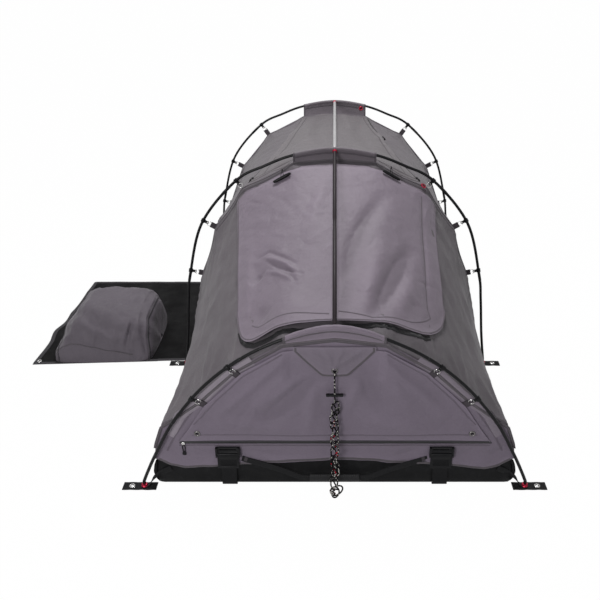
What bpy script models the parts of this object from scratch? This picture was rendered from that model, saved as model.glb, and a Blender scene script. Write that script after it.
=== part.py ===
"""A double swag: a low dome tent on a tub floor, held up by three arched poles and a ridge.

Units are metres, +Z is up. The origin is the centre of the tub's underside, the foot end faces -Y
and the head end +Y. Each separate piece is its own named object.
"""

import math

import bmesh
import bpy
from mathutils import Matrix, Vector

# Driving sizes
TUB_LENGTH = 2.15
TUB_WIDTH = 1.40
TUB_HEIGHT = 0.13
TUB_WALL = 0.003
TUB_CORNER = 0.02
CANVAS = 0.0025
GAP = 0.0003

MATTRESS_LENGTH = TUB_LENGTH - 0.09
MATTRESS_WIDTH = TUB_WIDTH - 0.08
MATTRESS_HEIGHT = 0.07
MATTRESS_EDGE = 0.02

POLE_RADIUS = 0.0064
RIDGE_RADIUS = 0.008
HOOP_SPAN = TUB_WIDTH + 0.10
HOOP_STANDOFF = 0.02
FOOT_HOOP_HEIGHT = 0.716
MID_HOOP_HEIGHT = 1.105
HEAD_HOOP_HEIGHT = 1.057
MID_HOOP_SETBACK = 0.908
RIDGE_SEAT_FRONT = 0.0117
RIDGE_SEAT_REAR = 0.0107
RIDGE_FITTING = 0.010

SLEEVE_HALF = 0.185
SLEEVE_WALL = 0.0022
SLEEVE_PLAY = 0.0008

SKIRT_LOW = 0.105
HEM_HEIGHT = TUB_HEIGHT + 0.077
COVER_INSET = 0.045
COVER_CORNER = 0.8364
COVER_EYELET_X = 0.525
COVER_EYELET_RISE = 0.04
FLAP_HINGE_HEIGHT = FOOT_HOOP_HEIGHT - 0.088
FLAP_LOW = FLAP_HINGE_HEIGHT - 0.120
FLAP_HALF_LOW = 0.045
FLAP_HALF_HIGH = 0.15

DOOR_SETBACK = 0.11
DOOR_GAP = 0.0012
COVER_LIFT = 0.0006

CLIP_WIDTH = 0.016
CLIP_HOOK = 0.0035
CLIP_PLAY = 0.0005
CLIP_TAB = 0.003

TAB_WIDTH = 0.045
TAB_LENGTH = 0.15
TAB_THICKNESS = 0.003
PEG_HOLE_RADIUS = 0.006
EYELET_RADIUS = 0.013
EYELET_RIM = 0.0015
FOOT_RADIUS = 0.011
FOOT_HEIGHT = 0.012

STRAP_X = TUB_WIDTH / 2 - 0.2865
STRAP_WIDTH = 0.058
STRAP_THICKNESS = 0.0025
BUCKLE_WIDTH = 0.094
BUCKLE_CHEEK = 0.0045
BUCKLE_DEPTH = 0.013
BUCKLE_TOP = TUB_HEIGHT + 0.054
BUCKLE_BAR = 0.024
BUCKLE_CHEEK_DROP = 0.02
LEVER_BARREL = 0.0045
LEVER_LENGTH = 0.066
LEVER_THICKNESS = 0.003

HANDLE_HALF = STRAP_X - 0.052
HANDLE_TOP = TUB_HEIGHT + 0.009
HANDLE_WEB = 0.025
HANDLE_WEB_THICKNESS = 0.003
HANDLE_DROP = 0.088
HANDLE_STANDOFF = 0.024
GRIP_HALF = 0.10
GRIP_HEIGHT = 0.036
GRIP_DEPTH = 0.018

ZIP_X = 0.117 - TUB_WIDTH / 2
ZIP_WIDTH = 0.012
ZIP_HEIGHT = 0.012
ZIP_DEPTH = 0.006
PULL_LENGTH = 0.05
PULL_WIDTH = 0.009
PULL_DEPTH = 0.004

ROPE_RADIUS = 0.0025
ROPE_EXIT_HEIGHT = FLAP_LOW + 0.025
CHAIN_TOP = 0.395
CHAIN_LINKS = 11
CHAIN_PITCH = 0.029
CHAIN_HALF_WIDTH = 0.019
CHAIN_REACH = 0.018
CHAIN_LEAN = 0.008
COIL_TURNS = 5
COIL_RADIUS = 0.030
COIL_SQUASH = 0.7
COIL_PITCH = 0.0064
LOOP_POINTS = 24
ROPE_STANDOFF = 0.068

BAR_LENGTH = 0.066
BAR_HEIGHT = 0.011
BAR_DEPTH = 0.010
BAR_Z = 0.436

MAT_LEFT = -TUB_WIDTH / 2 - 0.83
MAT_LEAD = 0.011
MAT_LENGTH = 0.983
MAT_SKEW = 0.044
MAT_THICKNESS = 0.003
BAG_BEHIND_HOOP = 0.247
BAG_INSET = 0.35
BAG_WIDTH = 0.50
BAG_DEPTH = 0.49
BAG_HEIGHT = 0.26
BAG_WALL = 0.006

# Places that follow from the sizes
HALF_LENGTH = TUB_LENGTH / 2
HALF_WIDTH = TUB_WIDTH / 2
HOOP_HALF = HOOP_SPAN / 2
FOOT_Y = -HALF_LENGTH - HOOP_STANDOFF
MID_Y = -HALF_LENGTH + MID_HOOP_SETBACK
HEAD_Y = HALF_LENGTH + HOOP_STANDOFF
RIM = TUB_HEIGHT + GAP
PANEL_BACK = -HALF_LENGTH - GAP
PANEL_FRONT = PANEL_BACK - CANVAS
COVER_BACK = PANEL_FRONT - GAP
COVER_FRONT = COVER_BACK - CANVAS
FLAP_BACK = COVER_FRONT - GAP
FLAP_FRONT = FLAP_BACK - CANVAS
ROPE_Y = FLAP_FRONT - 0.02
COIL_LOW = ROPE_RADIUS + 0.0006
MAT_RIGHT = -HALF_WIDTH - GAP
MAT_NEAR = MID_Y - MAT_LEAD
MAT_FAR = MAT_NEAR + MAT_LENGTH
BAG_CENTRE = (MAT_LEFT + BAG_INSET, MID_Y + BAG_BEHIND_HOOP)
HOOP_FOOT_Z = TAB_THICKNESS + FOOT_HEIGHT + GAP

# Hoop outlines, as shares of the half span and of the height, from the foot up to the top
TALL_HOOP = ((0.972, 0.16), (0.946, 0.33), (0.92, 0.45), (0.82, 0.684), (0.597, 0.867),
             (0.415, 0.932), (0.235, 0.977), (0.0, 1.0))
LOW_HOOP = ((0.975, 0.10), (0.924, 0.215), (0.827, 0.408), (0.711, 0.574), (0.615, 0.683),
            (0.509, 0.777), (0.395, 0.856), (0.273, 0.919), (0.130, 0.979), (0.0, 1.0))

# Canvas outlines inside each hoop: share of the half width, share of the height over the rim.
# The stops are: rim, door sill, low clip, middle clip, high clip, sleeve end, ridge.
FOOT_STOPS = ((1.0, 0.0), (0.99, 0.10), (0.945, 0.27), (0.721, 0.492), (0.529, 0.740),
              (0.270, 0.955), (0.0, 1.0))
MID_STOPS = ((1.0, 0.0), (0.982, 0.055), (0.896, 0.405), (0.786, 0.655), (0.594, 0.858),
             (0.257, 0.984), (0.0, 1.0))
HEAD_STOPS = ((1.0, 0.0), (0.982, 0.055), (0.931, 0.345), (0.807, 0.620), (0.571, 0.850),
              (0.257, 0.978), (0.0, 1.0))
FOOT_DROP = 0.056
MID_DROP = 0.045
HEAD_DROP = 0.062
STOP_NAMES = ("rim", "sill", "low clip", "middle clip", "high clip", "sleeve end", "ridge")
SILL, LOW_CLIP, MIDDLE_CLIP, HIGH_CLIP, SLEEVE_END = (STOP_NAMES.index(name) for name in STOP_NAMES[1:6])

COLOURS = {
    "canvas": ((0.135, 0.128, 0.135), 0.85, 0.0),
    "tub": ((0.02, 0.02, 0.021), 0.45, 0.0),
    "pole": ((0.022, 0.022, 0.024), 0.35, 0.6),
    "webbing": ((0.025, 0.025, 0.026), 0.8, 0.0),
    "plastic": ((0.02, 0.02, 0.02), 0.35, 0.0),
    "anodised": ((0.5, 0.02, 0.04), 0.3, 0.9),
    "foam": ((0.35, 0.36, 0.38), 0.9, 0.0),
    "rope": ((0.03, 0.03, 0.03), 0.8, 0.0),
    "metal": ((0.6, 0.6, 0.6), 0.3, 1.0),
}


def clear_scene():
    """Removes what the file holds."""
    for item in list(bpy.data.objects):
        bpy.data.objects.remove(item, do_unlink=True)


def material(name):
    """The named finish, made once."""
    found = bpy.data.materials.get(name)
    if found:
        return found
    colour, roughness, metallic = COLOURS[name]
    made = bpy.data.materials.new(name)
    made.use_nodes = True
    shader = made.node_tree.nodes["Principled BSDF"]
    shader.inputs["Base Color"].default_value = (*colour, 1.0)
    shader.inputs["Roughness"].default_value = roughness
    shader.inputs["Metallic"].default_value = metallic
    return made


def empty_at(name, place):
    """An empty that carries a moving piece on its joint's axis."""
    pivot = bpy.data.objects.new(name, None)
    pivot.location = place
    bpy.context.scene.collection.objects.link(pivot)
    return pivot


def add_mesh(name, mesh_data, finish, pivot=None):
    """Links a mesh as an object, with its origin at its pivot if it has one."""
    piece = bpy.data.objects.new(name, mesh_data)
    piece.data.materials.append(material(finish))
    bpy.context.scene.collection.objects.link(piece)
    if pivot is not None:
        piece.data.transform(Matrix.Translation(-pivot.location))
        piece.parent = pivot
    return piece


def finish_mesh(work, name, finish, pivot=None, smooth=False):
    """Turns a bmesh into an object whose faces point outwards."""
    bmesh.ops.recalc_face_normals(work, faces=work.faces[:])
    made = bpy.data.meshes.new(name)
    work.to_mesh(made)
    work.free()
    if smooth:
        made.shade_smooth()
        made.set_sharp_from_angle(angle=math.radians(40))
    return add_mesh(name, made, finish, pivot)


def add_loop(work, points):
    """A ring of vertices."""
    return [work.verts.new(point) for point in points]


def bridge(work, first, second):
    """Quads between two rings of as many vertices."""
    count = len(first)
    for index in range(count):
        following = (index + 1) % count
        work.faces.new((first[index], first[following], second[following], second[index]))


def prism(name, outline, low, high, place, finish, pivot=None):
    """An outline in two coordinates, extruded between low and high. place() gives the point."""
    work = bmesh.new()
    first = add_loop(work, [place(a, b, low) for a, b in outline])
    second = add_loop(work, [place(a, b, high) for a, b in outline])
    work.faces.new(first)
    work.faces.new(second)
    bridge(work, first, second)
    return finish_mesh(work, name, finish, pivot)


def front_place(x, z, y):
    """Puts an outline upright, facing along Y."""
    return (x, y, z)


def side_place(y, z, x):
    """Puts an outline upright, facing along X."""
    return (x, y, z)


def flat_place(x, y, z):
    """Lays an outline flat."""
    return (x, y, z)


def mirrored(half):
    """A whole outline from its right half, which runs from the bottom up to the centre line."""
    return list(half) + [(-x, z) for x, z in reversed(half[:-1])]


def arc(centre, radius, start, end, steps):
    """Points on an arc, in degrees."""
    turn = [math.radians(start + (end - start) * step / steps) for step in range(steps + 1)]
    return [(centre[0] + radius * math.cos(a), centre[1] + radius * math.sin(a)) for a in turn]


def rounded_box(half_x, half_y, radius, steps=3):
    """A rectangle with rounded corners, about the origin."""
    outline = []
    for sign_x, sign_y, start in ((1, 1, 0), (-1, 1, 90), (-1, -1, 180), (1, -1, 270)):
        centre = (sign_x * (half_x - radius), sign_y * (half_y - radius))
        outline += arc(centre, radius, start, start + 90, steps)
    return outline


def smooth_points(knots, steps):
    """Points on a smooth curve through the knots, a few for each span."""
    padded = [2 * knots[0] - knots[1], *knots, 2 * knots[-1] - knots[-2]]
    points = []
    for index in range(1, len(padded) - 2):
        before, start, end, after = padded[index - 1:index + 3]
        for step in range(steps):
            t = step / steps
            points.append(0.5 * (2 * start + (end - before) * t
                                 + (2 * before - 5 * start + 4 * end - after) * t ** 2
                                 + (3 * start - before - 3 * end + after) * t ** 3))
    points.append(padded[-2])
    return points


def tube(name, points, radius, finish, sides_level, pivot=None):
    """A round tube along a list of points, closed at both ends."""
    curve = bpy.data.curves.new(name, "CURVE")
    curve.dimensions = "3D"
    curve.bevel_depth = radius
    curve.bevel_resolution = sides_level
    curve.use_fill_caps = True
    curve.materials.append(material(finish))
    spline = curve.splines.new("POLY")
    spline.points.add(len(points) - 1)
    origin = pivot.location if pivot is not None else Vector((0, 0, 0))
    for knot, point in zip(spline.points, points):
        knot.co = (*(point - origin), 1.0)
    piece = bpy.data.objects.new(name, curve)
    bpy.context.scene.collection.objects.link(piece)
    if pivot is not None:
        piece.parent = pivot
    return piece


def hoop_points(shape, height, y, steps=3):
    """Points along a hoop from its left foot over the top to its right foot."""
    right = [Vector((HOOP_HALF, y, HOOP_FOOT_Z + FOOT_HEIGHT))]
    right += [Vector((x * HOOP_HALF, y, z * height)) for x, z in shape]
    left = [Vector((-knot.x, knot.y, knot.z)) for knot in right[:-1]]
    feet = [Vector((side * HOOP_HALF, y, HOOP_FOOT_Z)) for side in (-1, 1)]
    return [feet[0], *smooth_points(left + list(reversed(right)), steps), feet[1]]


def hoop_at(points, toward, side):
    """The hoop's nearest point to a place on one side, and its direction there."""
    best = None
    for first, second in zip(points, points[1:]):
        run = second - first
        share = max(0.0, min(1.0, (toward - first).dot(run) / run.length_squared))
        spot = first + share * run
        if spot.x * side > 0 and (best is None or (spot - toward).length < best[0]):
            best = ((spot - toward).length, spot, run.normalized())
    return best[1], best[2]


def canvas_stops(stops, hoop_height, drop):
    """A canvas outline's right half in metres, from the rim to the ridge."""
    rise = hoop_height - drop - RIM
    return [(x * HALF_WIDTH, RIM + z * rise) for x, z in stops]


FOOT_LINE = canvas_stops(FOOT_STOPS, FOOT_HOOP_HEIGHT, FOOT_DROP)
MID_LINE = canvas_stops(MID_STOPS, MID_HOOP_HEIGHT, MID_DROP)
HEAD_LINE = canvas_stops(HEAD_STOPS, HEAD_HOOP_HEIGHT, HEAD_DROP)


def blend_line(start, end, share):
    """An outline part way between two others."""
    return [(a[0] + (b[0] - a[0]) * share, a[1] + (b[1] - a[1]) * share) for a, b in zip(start, end)]


def cloth_grid(name, stations, finish, left_out=(), lift=0.0, pivot=None):
    """A thin sheet through whole outlines at their places along Y, its outer side on the outlines.

    left_out holds (station, stop) cells without cloth. lift raises the sheet off the outlines.
    """
    work = bmesh.new()
    rows = [add_loop(work, [(x, y, z) for x, z in line]) for y, line in stations]
    for row in range(len(rows) - 1):
        for stop in range(len(rows[row]) - 1):
            if (row, stop) in left_out:
                continue
            corners = (rows[row][stop], rows[row + 1][stop], rows[row + 1][stop + 1], rows[row][stop + 1])
            work.faces.new(corners)
    for loose in [vert for vert in work.verts if not vert.link_faces]:
        work.verts.remove(loose)
    rows = [[vert for vert in row if vert.is_valid] for row in rows]
    # The outline runs from the right over the top to the left, so each face already points out.
    bmesh.ops.triangulate(work, faces=work.faces[:], quad_method="FIXED")
    work.normal_update()
    outward = {vert: vert.calc_shell_factor() * vert.normal for vert in work.verts}
    # The sheet's two ends stay square to Y, so that what it is sewn to lies flat against them.
    for vert in rows[0] + rows[-1]:
        if vert in outward:
            normal = vert.normal
            flat = Vector((normal.x, 0.0, normal.z))
            outward[vert] = flat * outward[vert].length / flat.length_squared
    # A lower edge that stands on the tub's rim stays level.
    for row in rows:
        for vert in (row[0], row[-1]):
            if vert in outward and vert.co.z < RIM + GAP:
                outward[vert] = Vector((math.copysign(1.0 / abs(vert.normal.x), vert.normal.x), 0.0, 0.0))
    inner = {}
    for vert, out in outward.items():
        vert_place = vert.co.copy()
        vert.co = vert_place + out * lift
        inner[vert] = work.verts.new(vert_place + out * (lift - CANVAS))
    outer_faces = [face for face in work.faces]
    borders = [edge for edge in work.edges if len(edge.link_faces) == 1]
    rims = []
    for edge in borders:
        loop = edge.link_loops[0]
        rims.append((loop.vert, loop.link_loop_next.vert))
    for face in outer_faces:
        work.faces.new([inner[vert] for vert in reversed(face.verts)])
    for first, second in rims:
        work.faces.new((second, first, inner[first], inner[second]))
    return finish_mesh(work, name, finish, pivot)


def make_tub():
    """The tub: a floor and four low walls in one piece, open at the top."""
    outer = rounded_box(HALF_WIDTH, HALF_LENGTH, TUB_CORNER)
    inner = rounded_box(HALF_WIDTH - TUB_WALL, HALF_LENGTH - TUB_WALL, TUB_CORNER - TUB_WALL)
    work = bmesh.new()
    bottom = add_loop(work, [(x, y, 0.0) for x, y in outer])
    top = add_loop(work, [(x, y, TUB_HEIGHT) for x, y in outer])
    top_inner = add_loop(work, [(x, y, TUB_HEIGHT) for x, y in inner])
    floor = add_loop(work, [(x, y, TUB_WALL) for x, y in inner])
    work.faces.new(bottom)
    work.faces.new(floor)
    bridge(work, bottom, top)
    bridge(work, top, top_inner)
    bridge(work, top_inner, floor)
    finish_mesh(work, "tub", "tub")


def make_mattress():
    """The foam mattress: rounded corners and softly drawn-in edges, lying on the tub's floor."""
    low = TUB_WALL + GAP
    levels = ((MATTRESS_EDGE, 0.0), (0.0, 0.3), (0.0, 0.7), (MATTRESS_EDGE, 1.0))
    work = bmesh.new()
    rings = []
    for inset, share in levels:
        outline = rounded_box(MATTRESS_WIDTH / 2 - inset, MATTRESS_LENGTH / 2 - inset, 0.05 - inset / 2)
        rings.append(add_loop(work, [(x, y, low + share * MATTRESS_HEIGHT) for x, y in outline]))
    for first, second in zip(rings, rings[1:]):
        bridge(work, first, second)
    work.faces.new(rings[0])
    work.faces.new(rings[-1])
    finish_mesh(work, "mattress", "foam")


def stations_between(start_y, start_line, end_y, end_line, shares):
    """Whole outlines at shares of the way between two places."""
    return [(start_y + (end_y - start_y) * share, mirrored(blend_line(start_line, end_line, share)))
            for share in shares]


FRONT_START = -HALF_LENGTH
FRONT_END = MID_Y - GAP
REAR_START = MID_Y + GAP
REAR_END = HALF_LENGTH
FRONT_SHARES = (0.0, 0.07, 0.37, 0.67, 0.965, 1.0)
DOOR_SHARES = (0.0, DOOR_SETBACK / (REAR_END - REAR_START), 0.5,
               1 - DOOR_SETBACK / (REAR_END - REAR_START), 1.0)


def make_front_canvas():
    """The front section of the tent body, from the foot panel up to the middle hoop."""
    cloth_grid("front_canvas", stations_between(FRONT_START, FOOT_LINE, FRONT_END, MID_LINE, FRONT_SHARES),
               "canvas")


def make_window_cover():
    """The storm cover over the front section's window, lying on the roof between the high clips."""
    first, last = HIGH_CLIP, 2 * len(FOOT_STOPS) - 2 - HIGH_CLIP
    stations = stations_between(FRONT_START, FOOT_LINE, FRONT_END, MID_LINE, FRONT_SHARES[1:5])
    cropped = [(y, line[first:last + 1]) for y, line in stations]
    cloth_grid("window_cover", cropped, "canvas", lift=CANVAS + COVER_LIFT)


def door_cells(side):
    """The grid cells that a side door fills, as (station, stop)."""
    last = 2 * len(MID_STOPS) - 3
    stops = range(SILL, MIDDLE_CLIP)
    return {(row, stop if side > 0 else last - stop) for row in (1, 2) for stop in stops}


def make_rear_canvas():
    """The rear section of the tent body, from the middle hoop to the head panel, with two doorways."""
    stations = stations_between(REAR_START, MID_LINE, REAR_END, HEAD_LINE, DOOR_SHARES)
    cloth_grid("rear_canvas", stations, "canvas", left_out=door_cells(1) | door_cells(-1))


def door_axis(side):
    """Two points on a door's top edge, on the outer side of the canvas."""
    points = []
    for share in (DOOR_SHARES[1], DOOR_SHARES[3]):
        x, z = blend_line(MID_LINE, HEAD_LINE, share)[MIDDLE_CLIP]
        points.append(Vector((side * x, REAR_START + (REAR_END - REAR_START) * share, z)))
    return points


def make_door(name, side):
    """A side door, which fills its doorway and swings up and out about its top edge."""
    start, end = door_axis(side)
    pivot = empty_at(name + "_hinge", start)
    trim = DOOR_GAP / (REAR_END - REAR_START)
    shares = (DOOR_SHARES[1] + trim, DOOR_SHARES[2], DOOR_SHARES[3] - trim)
    rows = []
    for share in shares:
        line = blend_line(MID_LINE, HEAD_LINE, share)[SILL:MIDDLE_CLIP + 1]
        low, high = Vector(line[0]), Vector(line[-1])
        line[0] = tuple(low + (Vector(line[1]) - low).normalized() * DOOR_GAP)
        line[-1] = tuple(high + (Vector(line[-2]) - high).normalized() * DOOR_GAP)
        whole = [(side * x, z) for x, z in line]
        if side < 0:
            whole.reverse()
        rows.append((REAR_START + (REAR_END - REAR_START) * share, whole))
    cloth_grid(name, rows, "canvas", pivot=pivot)
    axis = (end - start).normalized()
    print(name, "hinge at", tuple(round(v, 5) for v in start), "axis", tuple(round(v, 5) for v in axis))


def make_skylight_cover():
    """The cover over the rear roof, as wide as the sleeve at the head and the high clips at the middle."""
    rows = []
    for share in (0.05, 0.5, 0.95):
        line = blend_line(MID_LINE, HEAD_LINE, share)
        high, sleeve = Vector(line[HIGH_CLIP]), Vector(line[SLEEVE_END])
        edge = tuple(high + (sleeve - high) * (0.12 + 0.80 * share))
        half = [edge, line[SLEEVE_END], line[-1]]
        rows.append((REAR_START + (REAR_END - REAR_START) * share, mirrored(half)))
    cloth_grid("skylight_cover", rows, "canvas", lift=CANVAS + COVER_LIFT)


def make_end_panels():
    """The upright canvas panels that close the foot and head ends."""
    foot = [(HALF_WIDTH, SKIRT_LOW), *FOOT_LINE]
    prism("foot_panel", mirrored(foot), PANEL_BACK, PANEL_FRONT, front_place, "canvas")
    head = [(HALF_WIDTH, SKIRT_LOW), *HEAD_LINE]
    prism("head_panel", mirrored(head), -PANEL_BACK, -PANEL_FRONT, front_place, "canvas")


def make_foot_cover():
    """The storm cover over the foot window, with a straight hem and an eyelet ring in each corner."""
    half = [(HALF_WIDTH * COVER_CORNER, HEM_HEIGHT)]
    for x, z in FOOT_LINE[MIDDLE_CLIP:]:
        length = math.hypot(x, z)
        half.append((x - COVER_INSET * x / length, z - COVER_INSET * z / length))
    work = bmesh.new()
    outline = mirrored(half)
    back = add_loop(work, [(x, COVER_BACK, z) for x, z in outline])
    front = add_loop(work, [(x, COVER_FRONT, z) for x, z in outline])
    work.faces.new(back)
    work.faces.new(front)
    bridge(work, back, front)
    for side in (-1, 1):
        add_rim(work, (side * COVER_EYELET_X, HEM_HEIGHT + COVER_EYELET_RISE), COVER_FRONT, -1)
    joined_piece(work, "foot_cover", "canvas")


def add_rim(work, centre, base_y, direction):
    """An eyelet's raised ring on an upright sheet, sunk a little so that a union joins it."""
    sides = 14
    rings = []
    for radius, y in ((EYELET_RADIUS, base_y - direction * 0.001),
                      (EYELET_RADIUS, base_y + direction * EYELET_RIM),
                      (PEG_HOLE_RADIUS, base_y + direction * EYELET_RIM),
                      (PEG_HOLE_RADIUS, base_y - direction * 0.001)):
        points = [(centre[0] + radius * math.cos(2 * math.pi * k / sides), y,
                   centre[1] + radius * math.sin(2 * math.pi * k / sides)) for k in range(sides)]
        rings.append(add_loop(work, points))
    for first, second in zip(rings, rings[1:] + rings[:1]):
        bridge(work, first, second)


def joined_piece(work, name, finish, pivot=None):
    """Makes one body of overlapping closed shells with an exact self-union."""
    bmesh.ops.recalc_face_normals(work, faces=work.faces[:])
    whole = bpy.data.meshes.new(name)
    work.to_mesh(whole)
    work.free()
    piece = add_mesh(name, whole, finish, pivot)
    helper = bpy.data.meshes.new(name + "_speck")
    speck = bpy.data.objects.new(name + "_speck", helper)
    bpy.context.scene.collection.objects.link(speck)
    speck.hide_render = True
    speck.display_type = "WIRE"
    union = piece.modifiers.new("join", "BOOLEAN")
    union.operation = "UNION"
    union.use_self = True
    union.object = speck
    return piece


def make_peak_flap():
    """The flap that hangs from the foot sleeve and carries the guy rope at its eyelet."""
    pivot = empty_at("peak_flap_hinge", (0.0, FLAP_BACK, FLAP_HINGE_HEIGHT))
    half = [(FLAP_HALF_LOW, FLAP_LOW), (FLAP_HALF_HIGH, FLAP_HINGE_HEIGHT - 0.018),
            (FLAP_HALF_HIGH, FLAP_HINGE_HEIGHT - GAP), (0.0, FLAP_HINGE_HEIGHT - GAP)]
    work = bmesh.new()
    outline = mirrored(half)
    back = add_loop(work, [(x, FLAP_BACK, z) for x, z in outline])
    front = add_loop(work, [(x, FLAP_FRONT, z) for x, z in outline])
    work.faces.new(back)
    work.faces.new(front)
    bridge(work, back, front)
    add_rim(work, (0.0, ROPE_EXIT_HEIGHT), FLAP_FRONT, -1)
    joined_piece(work, "peak_flap", "canvas", pivot)


def make_hoops():
    """The three arched poles, and the points of each for what is fitted to them."""
    routes = {
        "foot_hoop": hoop_points(LOW_HOOP, FOOT_HOOP_HEIGHT, FOOT_Y),
        "mid_hoop": hoop_points(TALL_HOOP, MID_HOOP_HEIGHT, MID_Y),
        "head_hoop": hoop_points(TALL_HOOP, HEAD_HOOP_HEIGHT, HEAD_Y),
    }
    for name, points in routes.items():
        tube(name, points, POLE_RADIUS, "pole", 2)
    return routes


def make_sleeve(name, points, tail_y, tail_z):
    """A canvas sleeve round the top of a hoop, with a web down to the canvas.

    tail_y is where along Y the web lands, and tail_z(x) how high.
    """
    sides = 10
    chosen = [point for point in points if abs(point.x) <= SLEEVE_HALF]
    bore = (POLE_RADIUS + SLEEVE_PLAY) / math.cos(math.pi / sides)
    outer = bore + SLEEVE_WALL
    ends = []
    for side in (-1, 1):
        spot, _ = hoop_at(points, Vector((side * SLEEVE_HALF, points[0].y, chosen[0].z)), side)
        ends.append(spot)
    route = [ends[0]] + [p for p in chosen if abs(p.x) < SLEEVE_HALF - 0.01] + [ends[1]]
    work = bmesh.new()
    outers, inners = [], []
    for point in route:
        down = Vector((0.0, tail_y - point.y, tail_z(point.x) - point.z))
        reach = down.length
        down.normalize()
        across = Vector((0.0, down.z, -down.y))
        ring_out, ring_in = [], []
        for k in range(sides):
            angle = 2 * math.pi * (k + 0.5) / sides
            spoke = math.cos(angle) * down + math.sin(angle) * across
            ring_in.append(point + bore * spoke)
            if k in (0, sides - 1):
                edge = across * (CANVAS / 2 if k == 0 else -CANVAS / 2)
                ring_out.append(point + down * reach + edge)
            else:
                ring_out.append(point + outer * spoke)
        outers.append(add_loop(work, ring_out))
        inners.append(add_loop(work, ring_in))
    for first, second in zip(outers, outers[1:]):
        bridge(work, first, second)
    for first, second in zip(inners, inners[1:]):
        bridge(work, first, second)
    bridge(work, outers[0], inners[0])
    bridge(work, outers[-1], inners[-1])
    finish_mesh(work, name, "canvas")


def line_height(line):
    """A function that gives an outline's height at any x near the top."""
    def height(x):
        for (x0, z0), (x1, z1) in zip(line, line[1:]):
            if x1 <= abs(x) <= x0:
                return z1 + (z0 - z1) * (abs(x) - x1) / (x0 - x1)
        return line[-1][1]
    return height


def make_sleeves(routes):
    """The three sleeves, each landing just above the canvas below it."""
    lift = 0.0021
    foot = line_height(FOOT_LINE)
    mid = line_height(MID_LINE)
    head = line_height(HEAD_LINE)
    make_sleeve("foot_sleeve", routes["foot_hoop"], PANEL_BACK, lambda x: foot(x) + lift)
    make_sleeve("mid_sleeve", routes["mid_hoop"], MID_Y, lambda x: mid(x) + lift)
    make_sleeve("head_sleeve", routes["head_hoop"], -PANEL_BACK, lambda x: head(x) + lift)


def make_clip(name, points, target, neighbours, side):
    """A pole clip: an open hook round the pole with a webbing tab that ends at the canvas.

    neighbours are the canvas outline's next corners, which the tab's end stays clear of.
    """
    spot, along = hoop_at(points, target, side)
    inward = target - spot
    inward -= along * inward.dot(along)
    reach = inward.length
    inward.normalize()
    across = along.cross(inward)
    rise = 0.0
    for corner in neighbours:
        edge = corner - target
        rise = max(rise, -edge.dot(inward) / abs(edge.dot(along)) * CLIP_WIDTH / 2)
    slant = abs(inward.y) / math.hypot(inward.x, inward.z) * CLIP_TAB / 2
    reach -= rise + slant + CLIP_PLAY
    inner = (POLE_RADIUS + CLIP_PLAY) / math.cos(math.radians(18))
    outer = inner + CLIP_HOOK
    half_tab = CLIP_TAB / 2
    lean = math.degrees(math.asin(half_tab / outer))
    outline = arc((0.0, 0.0), outer, lean, 300, 9)
    outline += arc((0.0, 0.0), inner, 300, 12, 8)
    outline += [(outer * 0.96, -half_tab), (reach, -half_tab), (reach, half_tab)]
    half = CLIP_WIDTH / 2
    prism(name, outline, -half, half, lambda a, b, c: spot + a * inward + b * across + c * along, "plastic")


def make_clips(routes):
    """Three clips on each side of the tall hoops and two on the foot hoop, at the canvas outline's corners."""
    levels = (("low", LOW_CLIP), ("middle", MIDDLE_CLIP), ("high", HIGH_CLIP))
    hoops = (("foot", routes["foot_hoop"], FOOT_LINE, -HALF_LENGTH - CANVAS / 2, levels[1:]),
             ("mid", routes["mid_hoop"], MID_LINE, MID_Y, levels),
             ("head", routes["head_hoop"], HEAD_LINE, HALF_LENGTH + CANVAS / 2, levels))
    for hoop, points, line, y, held in hoops:
        for level, stop in held:
            for word, side in (("left", -1), ("right", 1)):
                target, *neighbours = [Vector((side * line[k][0], y, line[k][1]))
                                       for k in (stop, stop - 1, stop + 1)]
                make_clip(f"{hoop}_clip_{level}_{word}", points, target, neighbours, side)


def make_ridge_poles(routes):
    """The two ridge poles between the sleeves, each with its red end fitting at the end towards +Y."""
    tops = {name: max(points, key=lambda p: p.z) for name, points in routes.items()}
    spans = (("front", tops["foot_hoop"], tops["mid_hoop"], RIDGE_SEAT_FRONT),
             ("rear", tops["mid_hoop"], tops["head_hoop"], RIDGE_SEAT_REAR))
    for word, near, far, seat in spans:
        along = (far - near).normalized()
        start = near + along * seat
        finish = far - along * (seat + RIDGE_FITTING + GAP)
        tube(f"ridge_pole_{word}", [start, start.lerp(finish, 0.5), finish], RIDGE_RADIUS, "pole", 2)
        ring = finish + along * GAP
        ring_points = [ring + along * (RIDGE_FITTING * share) for share in (0.0, 0.55, 1.0)]
        tube(f"ridge_fitting_{word}", ring_points, RIDGE_RADIUS * 1.25, "anodised", 2)


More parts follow.
